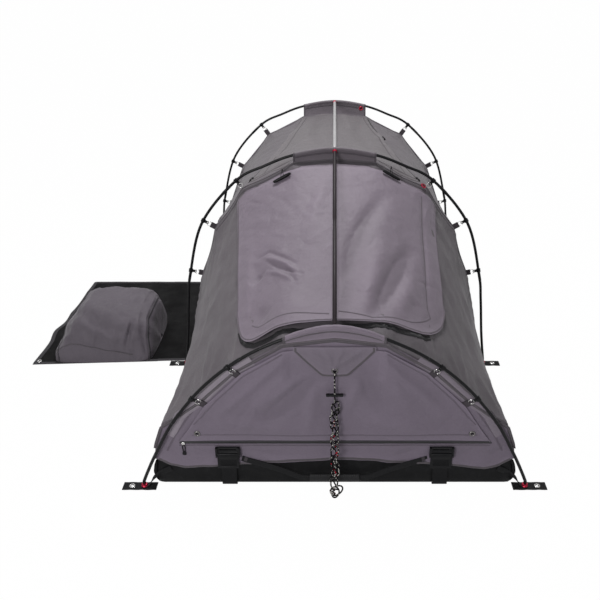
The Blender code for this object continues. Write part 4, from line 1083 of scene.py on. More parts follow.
    def tape(self, name: str, path: Sequence[tuple[float, float]], width: float, finish: object,
             lift: float = 0.0012, steps: int = 60) -> Piece:
        """A seam tape or binding that follows the surface along a path of (across, along) shares."""
        knots = np.array(path, float)
        share = np.linspace(0.0, 1.0, len(knots))
        fine = np.linspace(0.0, 1.0, steps)
        across = np.interp(fine, share, knots[:, 0])
        along = np.interp(fine, share, knots[:, 1])
        centre = np.array([tuple(self.at(a, b)) for a, b in zip(across, along)])
        above = np.array([tuple(self.at(a, b, 0.01)) for a, b in zip(across, along)])
        normal = unit(above - centre)
        side = unit(np.cross(np.gradient(centre, axis=0), normal))
        length = lengths_along(centre)
        profile = ((-0.5, 0.0), (-0.47, 0.8), (-0.25, 1.0), (0.0, 0.85), (0.25, 1.0), (0.47, 0.8), (0.5, 0.0))
        points, uvs = [], []
        for row in range(steps):
            for off, height in profile:
                points.append(centre[row] + side[row] * off * width + normal[row] * (lift * height - 0.0004))
                uvs.append((off * width, length[row]))
        faces = Bench.quads(steps, len(profile))
        piece = Bench.mesh(name, np.array(points), faces, np.array(uvs), np.full(len(points), 0.3))
        Bench.edited(piece, bpy.ops.mesh.normals_make_consistent, inside=False)
        middle = piece.data.polygons[len(piece.data.polygons) // 2]
        if Vector(normal[steps // 2]).dot(middle.normal) < 0:
            piece.data.flip_normals()
        return Bench.paint(Bench.smooth(piece, 70.0), finish)

    def border(self, name: str, corners: Sequence[tuple[float, float]], *sewing: object) -> list[Piece]:
        """Tapes along each side of a run of corners."""
        return [self.tape(name, ends, *sewing) for ends in zip(corners, corners[1:])]


def sewn(name: str, tapes: Sequence[Piece], body: str = "swag", slot: Slot = Slot.CANVAS) -> None:
    """Joins tapes or small parts into one piece that rides on a body."""
    Bench.place(Bench.join(name, tapes), body, slot)


def soften(line: np.ndarray, passes: int) -> np.ndarray:
    """Rounds a row of points without moving its ends."""
    line = line.copy()
    for _ in range(passes):
        line[1:-1] += 0.5 * ((line[:-2] + line[2:]) / 2 - line[1:-1])
    return line


def hoop_route(shape: Outline, height: float, y: float) -> np.ndarray:
    """The centre line of a hoop, from its left foot over the top to its right foot.

    Args:
        shape: its right half, as shares of the half span and of the height.
        height: its height.
        y: its place along the swag.

    Returns:
        The points, one to a row.
    """
    right = [(HOOP_HALF, y, HOOP_FOOT + 0.012)] + [(x * HOOP_HALF, y, z * height) for x, z in shape]
    left = [(-x, depth, z) for x, depth, z in right[:-1]]
    knots = np.array(left + right[::-1])
    shares = np.linspace(0.0, 1.0, 10, endpoint=False)
    return np.vstack(((-HOOP_HALF, y, HOOP_FOOT), *spline(knots, shares), (HOOP_HALF, y, HOOP_FOOT)))


def hoop_spot(route: np.ndarray, toward: np.ndarray, side: int) -> tuple[np.ndarray, np.ndarray]:
    """The hoop's nearest point to a place on one side, and its direction there."""
    best: tuple[float, np.ndarray, np.ndarray] = (1e9, toward, toward)
    for first, second in zip(route, route[1:]):
        run = second - first
        share = min(max(float((toward - first) @ run / (run @ run)), 0.0), 1.0)
        spot = first + share * run
        gap = float(np.linalg.norm(spot - toward))
        if spot[0] * side > 0 and gap < best[0]:
            best = (gap, spot, run / np.linalg.norm(run))
    return best[1], best[2]


@dataclass
class Studio:
    """A pale floor, soft lamps and the camera."""

    camera_place: tuple[float, float, float] = (0.0, -3.3746, 1.9575)
    camera_pitch: float = 26.46
    lens_mm: float = 44.216
    shift: float = -0.0578
    world_level: float = 0.235
    mirror_level: float = 0.62
    key_watts: float = 104.0
    front_watts: float = 80.0

    def camera(self) -> None:
        """The camera at the photograph's view."""
        data = bpy.data.cameras.new("camera")
        data.lens = self.lens_mm
        data.sensor_width = 36.0
        data.shift_x = self.shift
        camera = Bench.linked("camera", data)
        camera.location = self.camera_place
        camera.rotation_euler = (math.radians(90.0 - self.camera_pitch), 0.0, 0.0)
        bpy.context.scene.camera = camera

    def lamp(self, name: str, place: Sequence[float], aim: Sequence[float], size: float, watts: float) -> None:
        """One square soft lamp."""
        data = bpy.data.lights.new(name, "AREA")
        data.shape = "SQUARE"
        data.size = size
        data.energy = watts
        lamp = Bench.linked(name, data)
        lamp.location = place
        lamp.rotation_euler = (Vector(aim) - Vector(place)).to_track_quat("-Z", "Y").to_euler()

    def seen_white(self, graph: Graph, surface: Socket, share: float) -> None:
        """Lets camera, mirror and glass rays see mostly white, with the floor's own shading under it."""
        rays = graph.add("ShaderNodeLightPath")
        seen = graph.maths("MAXIMUM", rays.outputs["Is Camera Ray"],
                           graph.times(self.mirror_level, graph.maths("MAXIMUM", rays.outputs["Is Glossy Ray"],
                                                                      rays.outputs["Is Transmission Ray"])))
        glow = graph.add("ShaderNodeEmission")
        glow.inputs["Strength"].default_value = 1.0
        mix = graph.add("ShaderNodeMixShader")
        graph.link(graph.times(seen, share), mix.inputs[0])
        graph.link(surface, mix.inputs[1])
        graph.link(glow.outputs[0], mix.inputs[2])
        graph.link(mix.outputs[0], graph.output.inputs["Surface"])

    def floor(self) -> None:
        """A wide pale floor that keeps the swag's shadow."""
        floor = Bench.added("floor", bpy.ops.mesh.primitive_plane_add, size=60.0, location=(0.0, 0.0, -0.0006))
        graph = Graph("pale floor")
        tone = graph.spread(graph.noise(0.8, 2.0), 0.98, 1.0)
        graph.finish(graph.shade((0.76, 0.76, 0.76), tone), roughness=graph.spread(tone, 0.9, 1.0))
        self.seen_white(graph, graph.shader.outputs[0], 0.992)
        floor.data.materials.append(graph.material)

    def world(self) -> None:
        """Even light from all round, and a white background."""
        world = bpy.data.worlds.new("studio")
        world.use_nodes = True
        tree = world.node_tree
        tree.nodes.clear()
        rays = tree.nodes.new("ShaderNodeLightPath")
        level = tree.nodes.new("ShaderNodeMapRange")
        level.inputs["To Min"].default_value = self.world_level
        level.inputs["To Max"].default_value = 1.0
        either = tree.nodes.new("ShaderNodeMath")
        either.operation = "MULTIPLY_ADD"
        either.inputs[1].default_value = self.mirror_level
        background = tree.nodes.new("ShaderNodeBackground")
        background.inputs["Color"].default_value = (1.0, 1.0, 1.0, 1.0)
        output = tree.nodes.new("ShaderNodeOutputWorld")
        tree.links.new(rays.outputs["Is Glossy Ray"], either.inputs[0])
        tree.links.new(rays.outputs["Is Camera Ray"], either.inputs[2])
        tree.links.new(either.outputs[0], level.inputs["Value"])
        tree.links.new(level.outputs["Result"], background.inputs["Strength"])
        tree.links.new(background.outputs[0], output.inputs["Surface"])
        bpy.context.scene.world = world

    def build(self) -> None:
        """Sets up the view, the light and the floor."""
        bpy.context.scene.view_settings.view_transform = "Standard"
        self.camera()
        self.world()
        self.floor()
        self.lamp("key_lamp", (-0.10, 0.9, 3.9), (0.0, -0.3, 0.4), 0.8, self.key_watts)
        self.lamp("front_lamp", (-1.6, -4.3, 2.2), (0.0, -1.0, 0.4), 1.3, self.front_watts)


@dataclass
class GuyLine:
    """The guy rope gathered into a chain of loops, with the bar that tightens it."""

    radius: float = 0.0030
    exit_place: tuple[float, float, float] = (0.0, -1.0837, 0.533)
    hang_y: float = -1.1034
    bar_z: float = 0.436
    chain_top: float = 0.395
    chain_links: int = 15
    chain_pitch: float = 0.0232
    half_width: float = 0.0125
    reach: float = 0.0120
    lean: float = 0.0075
    foot_y: float = -1.143
    knot_turns: float = 3.0
    knot_width: float = 0.034
    knot_depth: float = 0.020
    knot_low: float = 0.0034
    loop_points: int = 30

    def route(self) -> np.ndarray:
        """The rope's centre line: out of the eyelet, through the bar, down the chain, round the coil."""
        _, y, z = self.exit_place
        knots = np.array([(0.0, y, z), (0.0, y - 0.006, z), (0.0, y - 0.014, z - 0.005),
                          (0.0, self.hang_y, z - 0.020), (0.0, self.hang_y, z - 0.05),
                          (0.0, self.hang_y, self.bar_z), (0.0, self.hang_y, self.bar_z - 0.009),
                          (0.001, self.hang_y + self.lean * 0.4, self.bar_z - 0.018)])
        points = spline(knots, (0.0, 0.5))
        for index in range(self.chain_links * self.loop_points + 1):
            t = index / self.loop_points
            angle = 2 * math.pi * t
            uneven = 1.0 + 0.18 * math.sin(t * 2.3) + 0.12 * math.sin(t * 5.1 + 1.0)
            middle = self.hang_y + (self.foot_y - self.hang_y) * t / self.chain_links
            points.append(np.array((uneven * self.half_width * math.sin(angle) + 0.003 * math.sin(t * 1.7),
                                    middle + self.lean * math.cos(angle * 1.5),
                                    self.chain_top - self.chain_pitch * t + self.reach * math.sin(2 * angle) * uneven)))
        knot = []
        for index in range(int(self.knot_turns * 40) + 1):
            angle = 2 * math.pi * index / 40
            swell = 0.75 + 0.25 * math.sin(angle * 0.37 + 0.6)
            knot.append(np.array((self.knot_width * swell * math.sin(angle + 0.4) * math.cos(angle * 0.31),
                                  self.foot_y - 0.012 + self.knot_depth * swell * math.cos(angle * 1.33),
                                  self.knot_low + 0.019 * (1 - math.cos(angle * 0.79 + 2.6)))))
        bridge = np.linspace(points[-1], knot[0], 8)[1:-1]
        return np.vstack((np.array(points), bridge, np.array(knot)))

    def build(self) -> None:
        """The rope and its bar."""
        route = self.route()
        rope = Bench.paint(Bench.tube("guy_rope_braid", route, self.radius, 12), ROPE_BRAID)
        bar = Bench.place(self.bar(), "tensioner", Slot.PLASTIC, "tensioner")
        Bench.place(rope, "peak_flap", Slot.ROPE, "guy_rope")

    def bar(self) -> Piece:
        """The bar: a moulded bar with three holes, waisted between them."""
        bar = Bench.box("rope_bar", (0.064, 0.0088, 0.010), (0.0, 0.0, 0.0))
        bars = bar.modifiers.new("cuts", "SUBSURF")
        bars.subdivision_type = "SIMPLE"
        bars.levels = bars.render_levels = 3
        Bench.apply(bar)
        for vertex in bar.data.vertices:
            vertex.co.z *= 1.0 - 0.16 * math.cos(vertex.co.x * math.pi / 0.0165) ** 2
        Bench.cut(bar, *(Bench.rod("hole", radius, 0.04, (x, 0.0, 0.0), 20)
                         for x, radius in ((-0.022, 0.0027), (0.0, 0.0034), (0.022, 0.0027))))
        Bench.bevel(bar, 0.0009, 2, 40.0)
        bar.data.transform(Matrix.Translation((0.0, self.hang_y, self.bar_z)))
        return Bench.paint(bar, BLACK_PLASTIC)


@dataclass
class PoleFrame:
    """The three arched poles, the two ridge poles, and what clips the canvas to them."""

    foot: np.ndarray = field(default_factory=lambda: hoop_route(LOW_HOOP, FOOT_HOOP, FOOT_Y))
    mid: np.ndarray = field(default_factory=lambda: hoop_route(TALL_HOOP, MID_HOOP, MID_Y))
    head: np.ndarray = field(default_factory=lambda: hoop_route(TALL_HOOP, HEAD_HOOP, HEAD_Y))
    ridge_radius: float = 0.008
    ring_radius: float = 0.0105
    tab_width: float = 0.026
    hook_width: float = 0.016
    eye_reach: float = 0.0208

    def hoop(self, name: str, route: np.ndarray) -> None:
        """One arched pole with its ferruled joints."""
        piece = Bench.paint(Bench.tube(name + "_pole", route, POLE_RADIUS, 16), POLE_METAL)
        run = lengths_along(route)
        parts = [piece]
        for share in (0.16, 0.32, 0.5, 0.68, 0.84):
            spots = np.linspace(share * run[-1] - 0.028, share * run[-1] + 0.028, 9)
            path = np.stack([np.interp(spots, run, axis) for axis in route.T], axis=1)
            swell = POLE_RADIUS + 0.0006 * np.clip(4 * np.minimum(np.arange(9), np.arange(9)[::-1]), 0, 1)
            parts.append(Bench.paint(Bench.tube("ferrule", path, swell, 16), POLE_METAL))
        Bench.place(Bench.join(name + "_pole", parts), "swag", Slot.POLE, name)

    def ridge(self, word: str, node: str, near: np.ndarray, far: np.ndarray, finish: HardFinish) -> None:
        """A ridge pole from node's place, drawn round, with turned ends and a joint."""
        low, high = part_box(node)
        y0, y1 = low.y + 0.0005, high.y - 0.0005
        direction = unit(far - near)
        start = near + direction * ((y0 - near[1]) / direction[1])
        end = near + direction * ((y1 - near[1]) / direction[1])
        shares = np.array([0.0, 0.004, 0.02, 0.022, 0.5, 0.502, 0.56, 0.562, 0.97, 0.972, 0.996, 1.0])
        radii = np.array([0.80, 0.92, 0.92, 1.0, 1.0, 0.9, 0.9, 1.0, 1.0, 0.92, 0.92, 0.80]) * self.ridge_radius
        path = start + (end - start) * shares[:, None]
        piece = Bench.paint(Bench.tube(f"ridge_{word}_pole", path, radii, 20), finish)
        Bench.place(piece, "swag", Slot.POLE, node)

    def fitting(self, word: str, node: str, along: np.ndarray) -> None:
        """The red end fitting of a ridge pole: a turned collar with a lip and a knurled waist."""
        low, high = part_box(node)
        centre = (np.array(low) + np.array(high)) / 2
        direction = unit(along)
        shares = np.array([-0.0048, -0.0044, -0.0016, -0.0012, 0.0012, 0.0016, 0.0044, 0.0048])
        radii = np.array([0.0080, 0.0092, 0.0092, 0.0080, 0.0080, 0.0096, 0.0096, 0.0084])
        piece = Bench.paint(Bench.tube(f"ridge_{word}_fitting", centre + direction * shares[:, None], radii, 24),
                            RED_METAL)
        Bench.place(piece, "swag", Slot.ANODISED, node)

    def clip_model(self) -> Piece:
        """A clip at the origin: X runs from the pole towards the canvas and Z along the pole."""
        hook = Bench.rod("hook", POLE_RADIUS + 0.0036, self.hook_width, (0.0, 0.0, 0.0), 28)
        bore = Bench.rod("bore", POLE_RADIUS + 0.0004, 0.05, (0.0, 0.0, 0.0), 28)
        mouth = Bench.box("mouth", (0.02, 0.0075, 0.05), (0.0, -0.012, 0.0))
        mouth.data.transform(Matrix.Rotation(math.radians(18), 4, "Z"))
        neck = Bench.box("neck", (0.011, 0.0052, self.hook_width * 0.8), (0.0128, 0.0, 0.0), 0.0012)
        Bench.bevel(Bench.cut(hook, bore, mouth), 0.0008, 2, 50.0)
        eye = Bench.ring("eye", 0.0052, 0.0019, (self.eye_reach, 0.0, 0.0), (math.pi / 2, 0.0, 0.0), 20)
        rib = Bench.box("rib", (0.003, 0.0105, self.hook_width * 0.55), (0.0095, 0.0, 0.0), 0.001)
        for part in (hook, neck, eye, rib):
            Bench.paint(part, BLACK_PLASTIC)
        ring = Bench.ring("link", self.ring_radius, 0.0013, (self.eye_reach + self.ring_radius - 0.001, 0.0, 0.0),
                          (math.pi / 2, 0.0, 0.0))
        Bench.paint(ring, BRIGHT_METAL)
        return Bench.join("clip_model", [hook, neck, eye, rib, ring])

    def clip_tab(self, start: np.ndarray, end: np.ndarray, along: np.ndarray) -> Piece:
        """The webbing tab from the ring to the canvas, folded over the ring and stitched down."""
        length = float(np.linalg.norm(end - start))
        direction = (end - start) / length
        off = unit(np.cross(direction, along))
        shape = [(length, 0.0015), (length * 0.5, 0.0017), (0.004, 0.0022), (-0.0008, 0.0016), (-0.0022, 0.0),
                 (-0.0008, -0.0016), (0.004, -0.0022), (length * 0.5, -0.0017), (length, -0.0015)]
        route = [Vector(start + direction * run_at + off * rise) for run_at, rise in shape]
        tab = Bench.strip("tab", route, [Vector(along)] * len(route), self.tab_width, 0.0014, 6)
        return Bench.paint(tab, TAB_WEB)

    def clips(self) -> None:
        """All the clips, at the canvas outlines' corners."""
        model = self.clip_model()
        hoops = (("foot", self.foot, FOOT_LINE, -1.0845), ("mid", self.mid, MID_LINE, MID_Y),
                 ("head", self.head, HEAD_LINE, HALF_LENGTH + 0.00125))
        for hoop, route, line, y in hoops:
            levels = (("middle", 3), ("high", 4)) if hoop == "foot" else (("low", 2), ("middle", 3), ("high", 4))
            for level, stop in levels:
                for side in Side:
                    target = np.array((side.value * line[stop][0], y, line[stop][1]))
                    spot, along = hoop_spot(route, target, side.value)
                    inward = target - spot
                    inward -= along * (inward @ along)
                    reach = float(np.linalg.norm(inward))
                    inward /= reach
                    matrix = Bench.frame_at(Vector(spot), Vector(inward), Vector(np.cross(along, inward)))
                    hook = Bench.copy(model, "hook", matrix)
                    ring_out = self.eye_reach + 2 * self.ring_radius - 0.001
                    parts = [hook]
                    overlap = {"foot": max(0.020, ring_out - reach + 0.042), "mid": 0.0, "head": 0.020}[hoop]
                    if reach + overlap - ring_out > 0.004:
                        parts.append(self.clip_tab(spot + inward * ring_out, spot + inward * (reach + overlap), along))
                    node = f"{hoop}_clip_{level}_{side.word}"
                    Bench.place(Bench.join(node + "_hook", parts), "swag", Slot.PLASTIC, node)
        Bench.drop(model)

    def sleeve(self, node: str, route: np.ndarray, land_y: float, line: Outline, finish: ClothFinish,
               seed: float) -> None:
        """A sleeve round a hoop's top: cloth up one side of the web, round the pole and down the other."""
        half, columns, around = 0.185, 72, 14
        run_x = np.linspace(half, -half, columns)
        top = route[np.abs(route[:, 0]) < half + 0.05]
        order = np.argsort(top[:, 0])
        z_pole = np.interp(run_x, top[order, 0], top[order, 2])
        z_land = height_over(line, run_x) + CLOTH
        radius = POLE_RADIUS + 0.0030
        angles = np.radians(np.linspace(50, 310, around + 1))[:, None]
        web = np.array((1.0, 0.72, 0.45))[:, None]
        rings = []
        for x, high, low in zip(run_x, z_pole, z_land):
            pole = np.array((x, route[0, 1], high))
            down = np.array((x, land_y, low)) - pole
            inward = unit(down)
            across = np.array((0.0, inward[2], -inward[1]))
            apart = across * (CLOTH + 0.004 * (1 - web))
            rings.append(np.vstack((pole + down * web + apart,
                                    pole + radius * (np.cos(angles) * inward + np.sin(angles) * across),
                                    (pole + down * web - apart)[::-1])))
        count = len(rings[0])
        surface = Surface(np.array(rings).transpose(1, 0, 2)).facing_up(count // 2, columns // 2)
        flat = surface.flat()
        share = np.linspace(0, 1, count)[:, None]
        slack = np.sin(math.pi * np.clip(np.abs(share - 0.5) * 2, 0, 1)) * 0.5
        wave = plane_noise(flat[..., 0] / 0.035, flat[..., 1] / 0.03, seed) * 0.0030 * slack
        wave += plane_noise(flat[..., 0] / 0.012, flat[..., 1] / 0.02, seed + 2) * 0.0011 * slack
        surface = surface.lifted(wave)
        piece = surface.mesh(node + "_cloth", finish, 0.0012, 0.008)
        edge = 2.4 / (count - 1)
        tapes = [surface.tape("row", [(0.004, share), (0.996, share)], 0.008, SEAM, 0.0009, 70)
                 for share in (edge, 1 - edge)]
        tapes += [surface.tape("row", [(share, 0.01), (share, 0.99)], 0.009, SEAM, 0.0009, 40)
                  for share in (0.012, 0.988)]
        sewn(node + "_seams", tapes)
        Bench.place(piece, "swag", Slot.CANVAS, node)
        flat = surface.flat()

    def grommet(self, name: str, place: Sequence[float], normal: Sequence[float], finish: HardFinish,
                radius: float = 0.0095) -> None:
        """A small turned grommet pressed into cloth."""
        model = Bench.paint(Bench.ring("grommet", radius, radius * 0.32, around=26), finish)
        plug = Bench.paint(Bench.rod("plug", radius * 0.8, radius * 0.3, sides=20), BLACK_PLASTIC)
        model = Bench.join("grommet", [model, plug])
        third = Vector(normal).normalized()
        first = third.orthogonal().normalized()
        model.data.transform(Bench.frame_at(Vector(place), first, third.cross(first)))
        model.name = name
        Bench.place(model, "swag", Slot.ANODISED)

    def peg_tab(self, hoop: str, y: float, side: Side) -> None:
        """A peg tab of doubled webbing with its eyelet, and the pole's red foot."""
        node = f"{hoop}_tab_{side.word}"
        low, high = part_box(node)
        inner, outer = (low.x, high.x) if side is Side.RIGHT else (high.x, low.x)
        xs = np.linspace(inner + side.value * 0.0005, outer, 22)
        route = []
        for index, x in enumerate(xs):
            edge = abs(x) - HOOP_HALF
            route.append(Vector((x, y, 0.0017 + 0.0005 * math.sin(index * 0.9) + 0.0004 * (edge > 0))))
        strap = Bench.strip("strap", route, [Vector((0, 1, 0))] * len(route), 0.0445, 0.0028, 8)
        hole_x = side.value * 0.7995
        Bench.paint(Bench.cut(strap, Bench.rod("hole", 0.0066, 0.05, (hole_x, y, 0.0), 28)), STRAP_WEB)
        rim = Bench.ring("rim", 0.0098, 0.0021, (hole_x, y, 0.0036), around=32)
        rim.data.transform(Matrix.Translation((0, 0, 0.0036 * 0.45)) @ Matrix.Diagonal((1, 1, 0.55, 1)))
        Bench.paint(rim, BRIGHT_METAL)
        foot_x = side.value * HOOP_HALF
        turned = ((0.0034, 0.0118), (0.0040, 0.0125), (0.0075, 0.0125), (0.0082, 0.0098), (0.0112, 0.0098),
                  (0.0118, 0.0112), (0.0146, 0.0112), (0.0150, 0.0100))
        foot = Bench.tube("foot", np.array([(foot_x, y, z) for z, _ in turned]),
                          np.array([radius for _, radius in turned]), 28)
        Bench.paint(foot, RED_METAL)
        Bench.place(Bench.join(node + "_webbing", [strap, rim, foot]), "swag", Slot.WEBBING, node)

    def build(self) -> None:
        """Every pole, sleeve, clip and tab."""
        routes = {"foot": self.foot, "mid": self.mid, "head": self.head}
        for name, route in routes.items():
            self.hoop(name + "_hoop", route)
        tops = [route[np.argmax(route[:, 2])] for route in routes.values()]
        # The rear ridge pole takes the light grey finish that paints its reflection of the overhead light.
        spans = (("front", *tops[:2], DARK_RIDGE), ("rear", *tops[1:], RIDGE_REFLECTION_GREY))
        for word, near, far, finish in spans:
            self.ridge(word, f"ridge_pole_{word}", near, far, finish)
        for word, near, far, finish in spans:
            self.fitting(word, f"ridge_fitting_{word}", far - near)
        self.clips()
        # The foot sleeve takes the lit copy of the sleeve cloth, the mid and head sleeves the shaded copy.
        self.sleeve("foot_sleeve", self.foot, -HALF_LENGTH - GAP, FOOT_LINE, LIT_SLEEVE_CANVAS, 3.1)
        self.sleeve("mid_sleeve", self.mid, MID_Y, MID_LINE, SHADED_SLEEVE_CANVAS, 5.7)
        self.sleeve("head_sleeve", self.head, HALF_LENGTH + GAP, HEAD_LINE, SHADED_SLEEVE_CANVAS, 9.3)
        for hoop, y in (("foot", FOOT_Y), ("mid", MID_Y), ("head", HEAD_Y)):
            for side in Side:
                self.peg_tab(hoop, y, side)
                if hoop != "mid":
                    self.corner_strap(hoop, y, side)
        self.grommet("head_grommet", (0.157, HEAD_Y - 0.0108, 1.019), (0.1, -1.0, 0.15), RED_METAL, 0.0095)
        self.grommet("mid_grommet", (0.398, MID_Y - 0.022, 0.944), (0.55, -0.3, 0.75), RED_METAL, 0.0105)

    def corner_strap(self, hoop: str, y: float, side: Side) -> None:
        """The webbing that ties a corner of the tub to its peg tab."""
        out = math.copysign(1.0, y)
        knots = np.array([(0.640, out * 1.0795, 0.078), (0.680, out * 1.0800, 0.060), (0.706, out * 1.0805, 0.040),
                          (0.718, out * 1.0850, 0.022), (0.730, out * 1.0900, 0.0085), (0.741, out * 1.0930, 0.0052)])
        line = soften(resampled(knots, 34), 6)
        run = np.gradient(line, axis=0)
        turn = np.linspace(0.0, 1.0, len(line))[:, None]
        across = np.cross(run, (0.0, out, 0.0)) * (1 - turn) + np.array((0.0, 1.0, 0.0)) * turn * 0.005
        route = [Vector((side.value * x, depth, z)) for x, depth, z in line]
        sides = [Vector((side.value * x, depth, z)) for x, depth, z in across]
        strap = Bench.strip(f"corner_strap_{hoop}_{side.word}", route, sides, 0.026, 0.0018, 6)
        Bench.place(Bench.paint(strap, STRAP_WEB), "swag", Slot.WEBBING)


@dataclass
class TentBody:
    """The canvas between the hoops: front slope, rear section, end walls, covers, doors and their seams."""

    columns_pitch: float = 0.015
    front_rows: int = 64
    rear_inner_rows: int = 60
    door_setback: float = 0.11
    stops: np.ndarray = field(init=False)
    front_base: Surface = field(init=False)
    front: Surface = field(init=False)
    rear_base: Surface = field(init=False)
    rear: Surface = field(init=False)

    def __post_init__(self) -> None:
        """Works out the surfaces that every piece of the canvas follows."""
        whole = self.whole(MID_LINE)
        lengths = np.linalg.norm(np.diff(whole, axis=0), axis=1)
        runs = [np.linspace(stop, stop + 1, max(6, int(length / self.columns_pitch)), endpoint=False)
                for stop, length in enumerate(lengths)]
        self.stops = np.concatenate((*runs, [len(whole) - 1.0]))
        shares = np.linspace(0.0, 1.0, self.front_rows)
        self.front_base = self.section(-HALF_LENGTH, FOOT_LINE, MID_Y - GAP, MID_LINE, shares)
        covered = np.interp(shares, (0.11, 0.17, 0.35, 0.95, 0.965), (0.0, 0.30, 0.36, 0.40, 0.0))
        self.front = self.dressed(self.front_base, shares, 11.0, covered)
        edge = self.door_setback / (HALF_LENGTH - MID_Y - GAP)
        shares = np.concatenate((np.linspace(0, edge, 7)[:-1], np.linspace(edge, 1 - edge, self.rear_inner_rows),
                                 np.linspace(1 - edge, 1, 7)[1:]))
        self.rear_shares = shares
        self.rear_base = self.section(MID_Y + GAP, MID_LINE, HALF_LENGTH, HEAD_LINE, shares)
        covered = np.interp(shares, (0.04, 0.06, 0.94, 0.96), (0.0, 0.34, 0.14, 0.0))
        self.rear = self.dressed(self.rear_base, shares, 23.0, covered)

    @staticmethod
    def whole(line: Outline) -> np.ndarray:
        """An outline from the right rim over the ridge to the left rim."""
        right = np.array(line)
        return np.vstack((right, (right * (-1, 1))[-2::-1]))

    def share_of(self, stop: float) -> float:
        """The share of the columns at which a stop of the outline lies."""
        return float(np.interp(stop, self.stops, np.linspace(0.0, 1.0, len(self.stops))))

    def section(self, y0: float, line0: Outline, y1: float, line1: Outline, shares: np.ndarray) -> Surface:
        """The stretched canvas between two hoops, sharp at its clips and rounded and drawn in between.

        Args:
            y0: the nearer end's place.
            line0: the nearer end's outline.
            y1: the farther end's place.
            line1: the farther end's outline.
            shares: where its rows lie, from 0 to 1.

        Returns:
            The surface, without its small folds.
        """
        first, last = self.whole(line0), self.whole(line1)
        index = np.minimum(self.stops.astype(int), len(first) - 2)
        part = (self.stops - index)[:, None]
        side = np.minimum(self.stops, LAST_STOP - self.stops)
        hold = np.clip(side / 2.0, 0.0, 1.0)
        low = np.exp(-((side - 1.6) / 0.9) ** 2) * hold
        scallop = np.where((self.stops > 2) & (self.stops < 10), np.sin(math.pi * (self.stops % 1.0)) ** 1.4, 0.0)
        scallop[np.abs(self.stops - RIDGE_STOP) < 1] = 0.0
        rows = []
        length = y1 - y0
        for share in shares:
            line = first + (last - first) * share
            row = line[index] * (1 - part) + line[index + 1] * part
            row = soften(row, int(1 + 44 * math.sin(math.pi * share) ** 0.8))
            run = np.gradient(row, axis=0)
            outward = unit(np.stack((-run[:, 1], run[:, 0]), axis=1))
            if outward[len(outward) // 2, 1] < 0:
                outward = -outward
            near = np.exp(-min(share, 1 - share) * length / 0.10)
            sag = 4 * share * (1 - share) * (0.011 * hold + 0.013 * low)
            row = row - outward * (0.007 * near * scallop + sag)[:, None]
            rows.append(np.column_stack((row[:, 0], np.full(len(row), y0 + length * share), row[:, 1])))
        return Surface(np.array(rows))

    def dressed(self, base: Surface, shares: np.ndarray, seed: float, covered: np.ndarray) -> Surface:
        """The canvas with its drag lines from each clip and its long soft folds.

        Args:
            base: the stretched canvas.
            shares: where its rows lie, from 0 to 1.
            seed: shifts its small unevenness.
            covered: the half width of the cover over it at each row, under which it lies back.

        Returns:
            The canvas's surface.
        """
        flat = base.flat()
        girth, along = flat[..., 0], flat[..., 1]
        end = along.max(axis=0)
        lift = plane_noise(girth / 0.13, along / 0.50, seed) * 0.0080
        lift += plane_noise(girth / 0.05, along / 0.24, seed + 1) * 0.0030
        lift += plane_noise((girth + along) / 0.20, (girth - along) / 0.08, seed + 2) * 0.0030
        folds = []
        for stop in (2, 3, 4, 5, 7, 8, 9, 10):
            column = int(round(self.share_of(stop) * (len(self.stops) - 1)))
            near, far = girth[0, column], girth[-1, column]
            turn = 1.0 if stop < RIDGE_STOP else -1.0
            for drift, reach, height in ((0.02, 0.26, 0.0075), (-0.06, 0.18, 0.0055), (0.10, 0.20, 0.0050)):
                folds += [(((near, 0.0), (near + turn * drift, reach)), 0.011, height),
                          (((far, end[column]), (far - turn * drift, end[column] - reach)), 0.011, height)]
        reach = (float(girth.min()), 0.05), (float(girth.max()), float(along.max()) - 0.05)
        folds += scattered(int(seed), 90, *reach, 0.15, 0.012, 0.0030, 1.1)
        lift += creased(girth, along, folds)
        hidden = np.clip((covered[:, None] - np.abs(base.points[..., 0])) / 0.03, 0.0, 1.0)
        lift = lift * (1 - hidden) - 0.006 * hidden
        border = np.clip(np.minimum(shares, 1 - shares) / 0.03, 0.0, 1.0)[:, None]
        foot = np.clip(np.minimum(self.stops, LAST_STOP - self.stops) / 0.7, 0.0, 1.0)[None, :]
        return base.lifted(lift * border * foot)

    def front_slope(self) -> None:
        """The front section's canvas and its seams."""
        piece = self.front.mesh("front_slope_canvas", CANVAS_FINISH, CLOTH)
        Bench.place(piece, "swag", Slot.CANVAS, "front_canvas")
        self.declare(piece, self.front, "foot_hoop_pole", "mid_hoop_pole")
        sewn("front_slope_seams", [*self.down(self.front, (1.0, 11.0), 0.014, SEAM, 0.0014),
                                   *self.across(self.front, ((0.012, 0.016), (0.982, 0.022))),
                                   *self.down(self.front, (0.12, 11.88), 0.012, HEM, 0.0012)])

    def down(self, surface: Surface, stops: Sequence[float], *sewing: object) -> list[Piece]:
        """Seams along the swag at some stops of the outline."""
        shares = [self.share_of(stop) for stop in stops]
        return [surface.tape("seam", [(a, 0.01), (a, 0.99)], *sewing, 90) for a in shares]

    @staticmethod
    def across(surface: Surface, seams: Sequence[tuple[float, float]]) -> list[Piece]:
        """Seams over the swag, each given by its share of the rows and its width."""
        return [surface.tape("seam", [(0.01, along), (0.99, along)], width, SEAM, 0.0018, 220)
                for along, width in seams]

    def piping(self) -> None:
        """The corded seams where the canvas meets each hoop's line."""
        edges = (("foot", self.front.points[0], -0.0012), ("mid", self.front.points[-1], 0.0),
                 ("head", self.rear.points[-1], 0.0012))
        for word, line, shift in edges:
            route = line[6:-6] + (0.0, shift, 0.0)
            cord = Bench.tube(word + "_seam_piping", route, 0.0036, 10)
            Bench.place(Bench.paint(cord, CANVAS_FINISH), "swag", Slot.CANVAS)

    @staticmethod
    def declare(piece: Piece, surface: Surface, *rests: str, held: str = "stretched") -> None:
        """Works out the size that a cloth is cut to and does not keep it."""
        surface.cut_size()

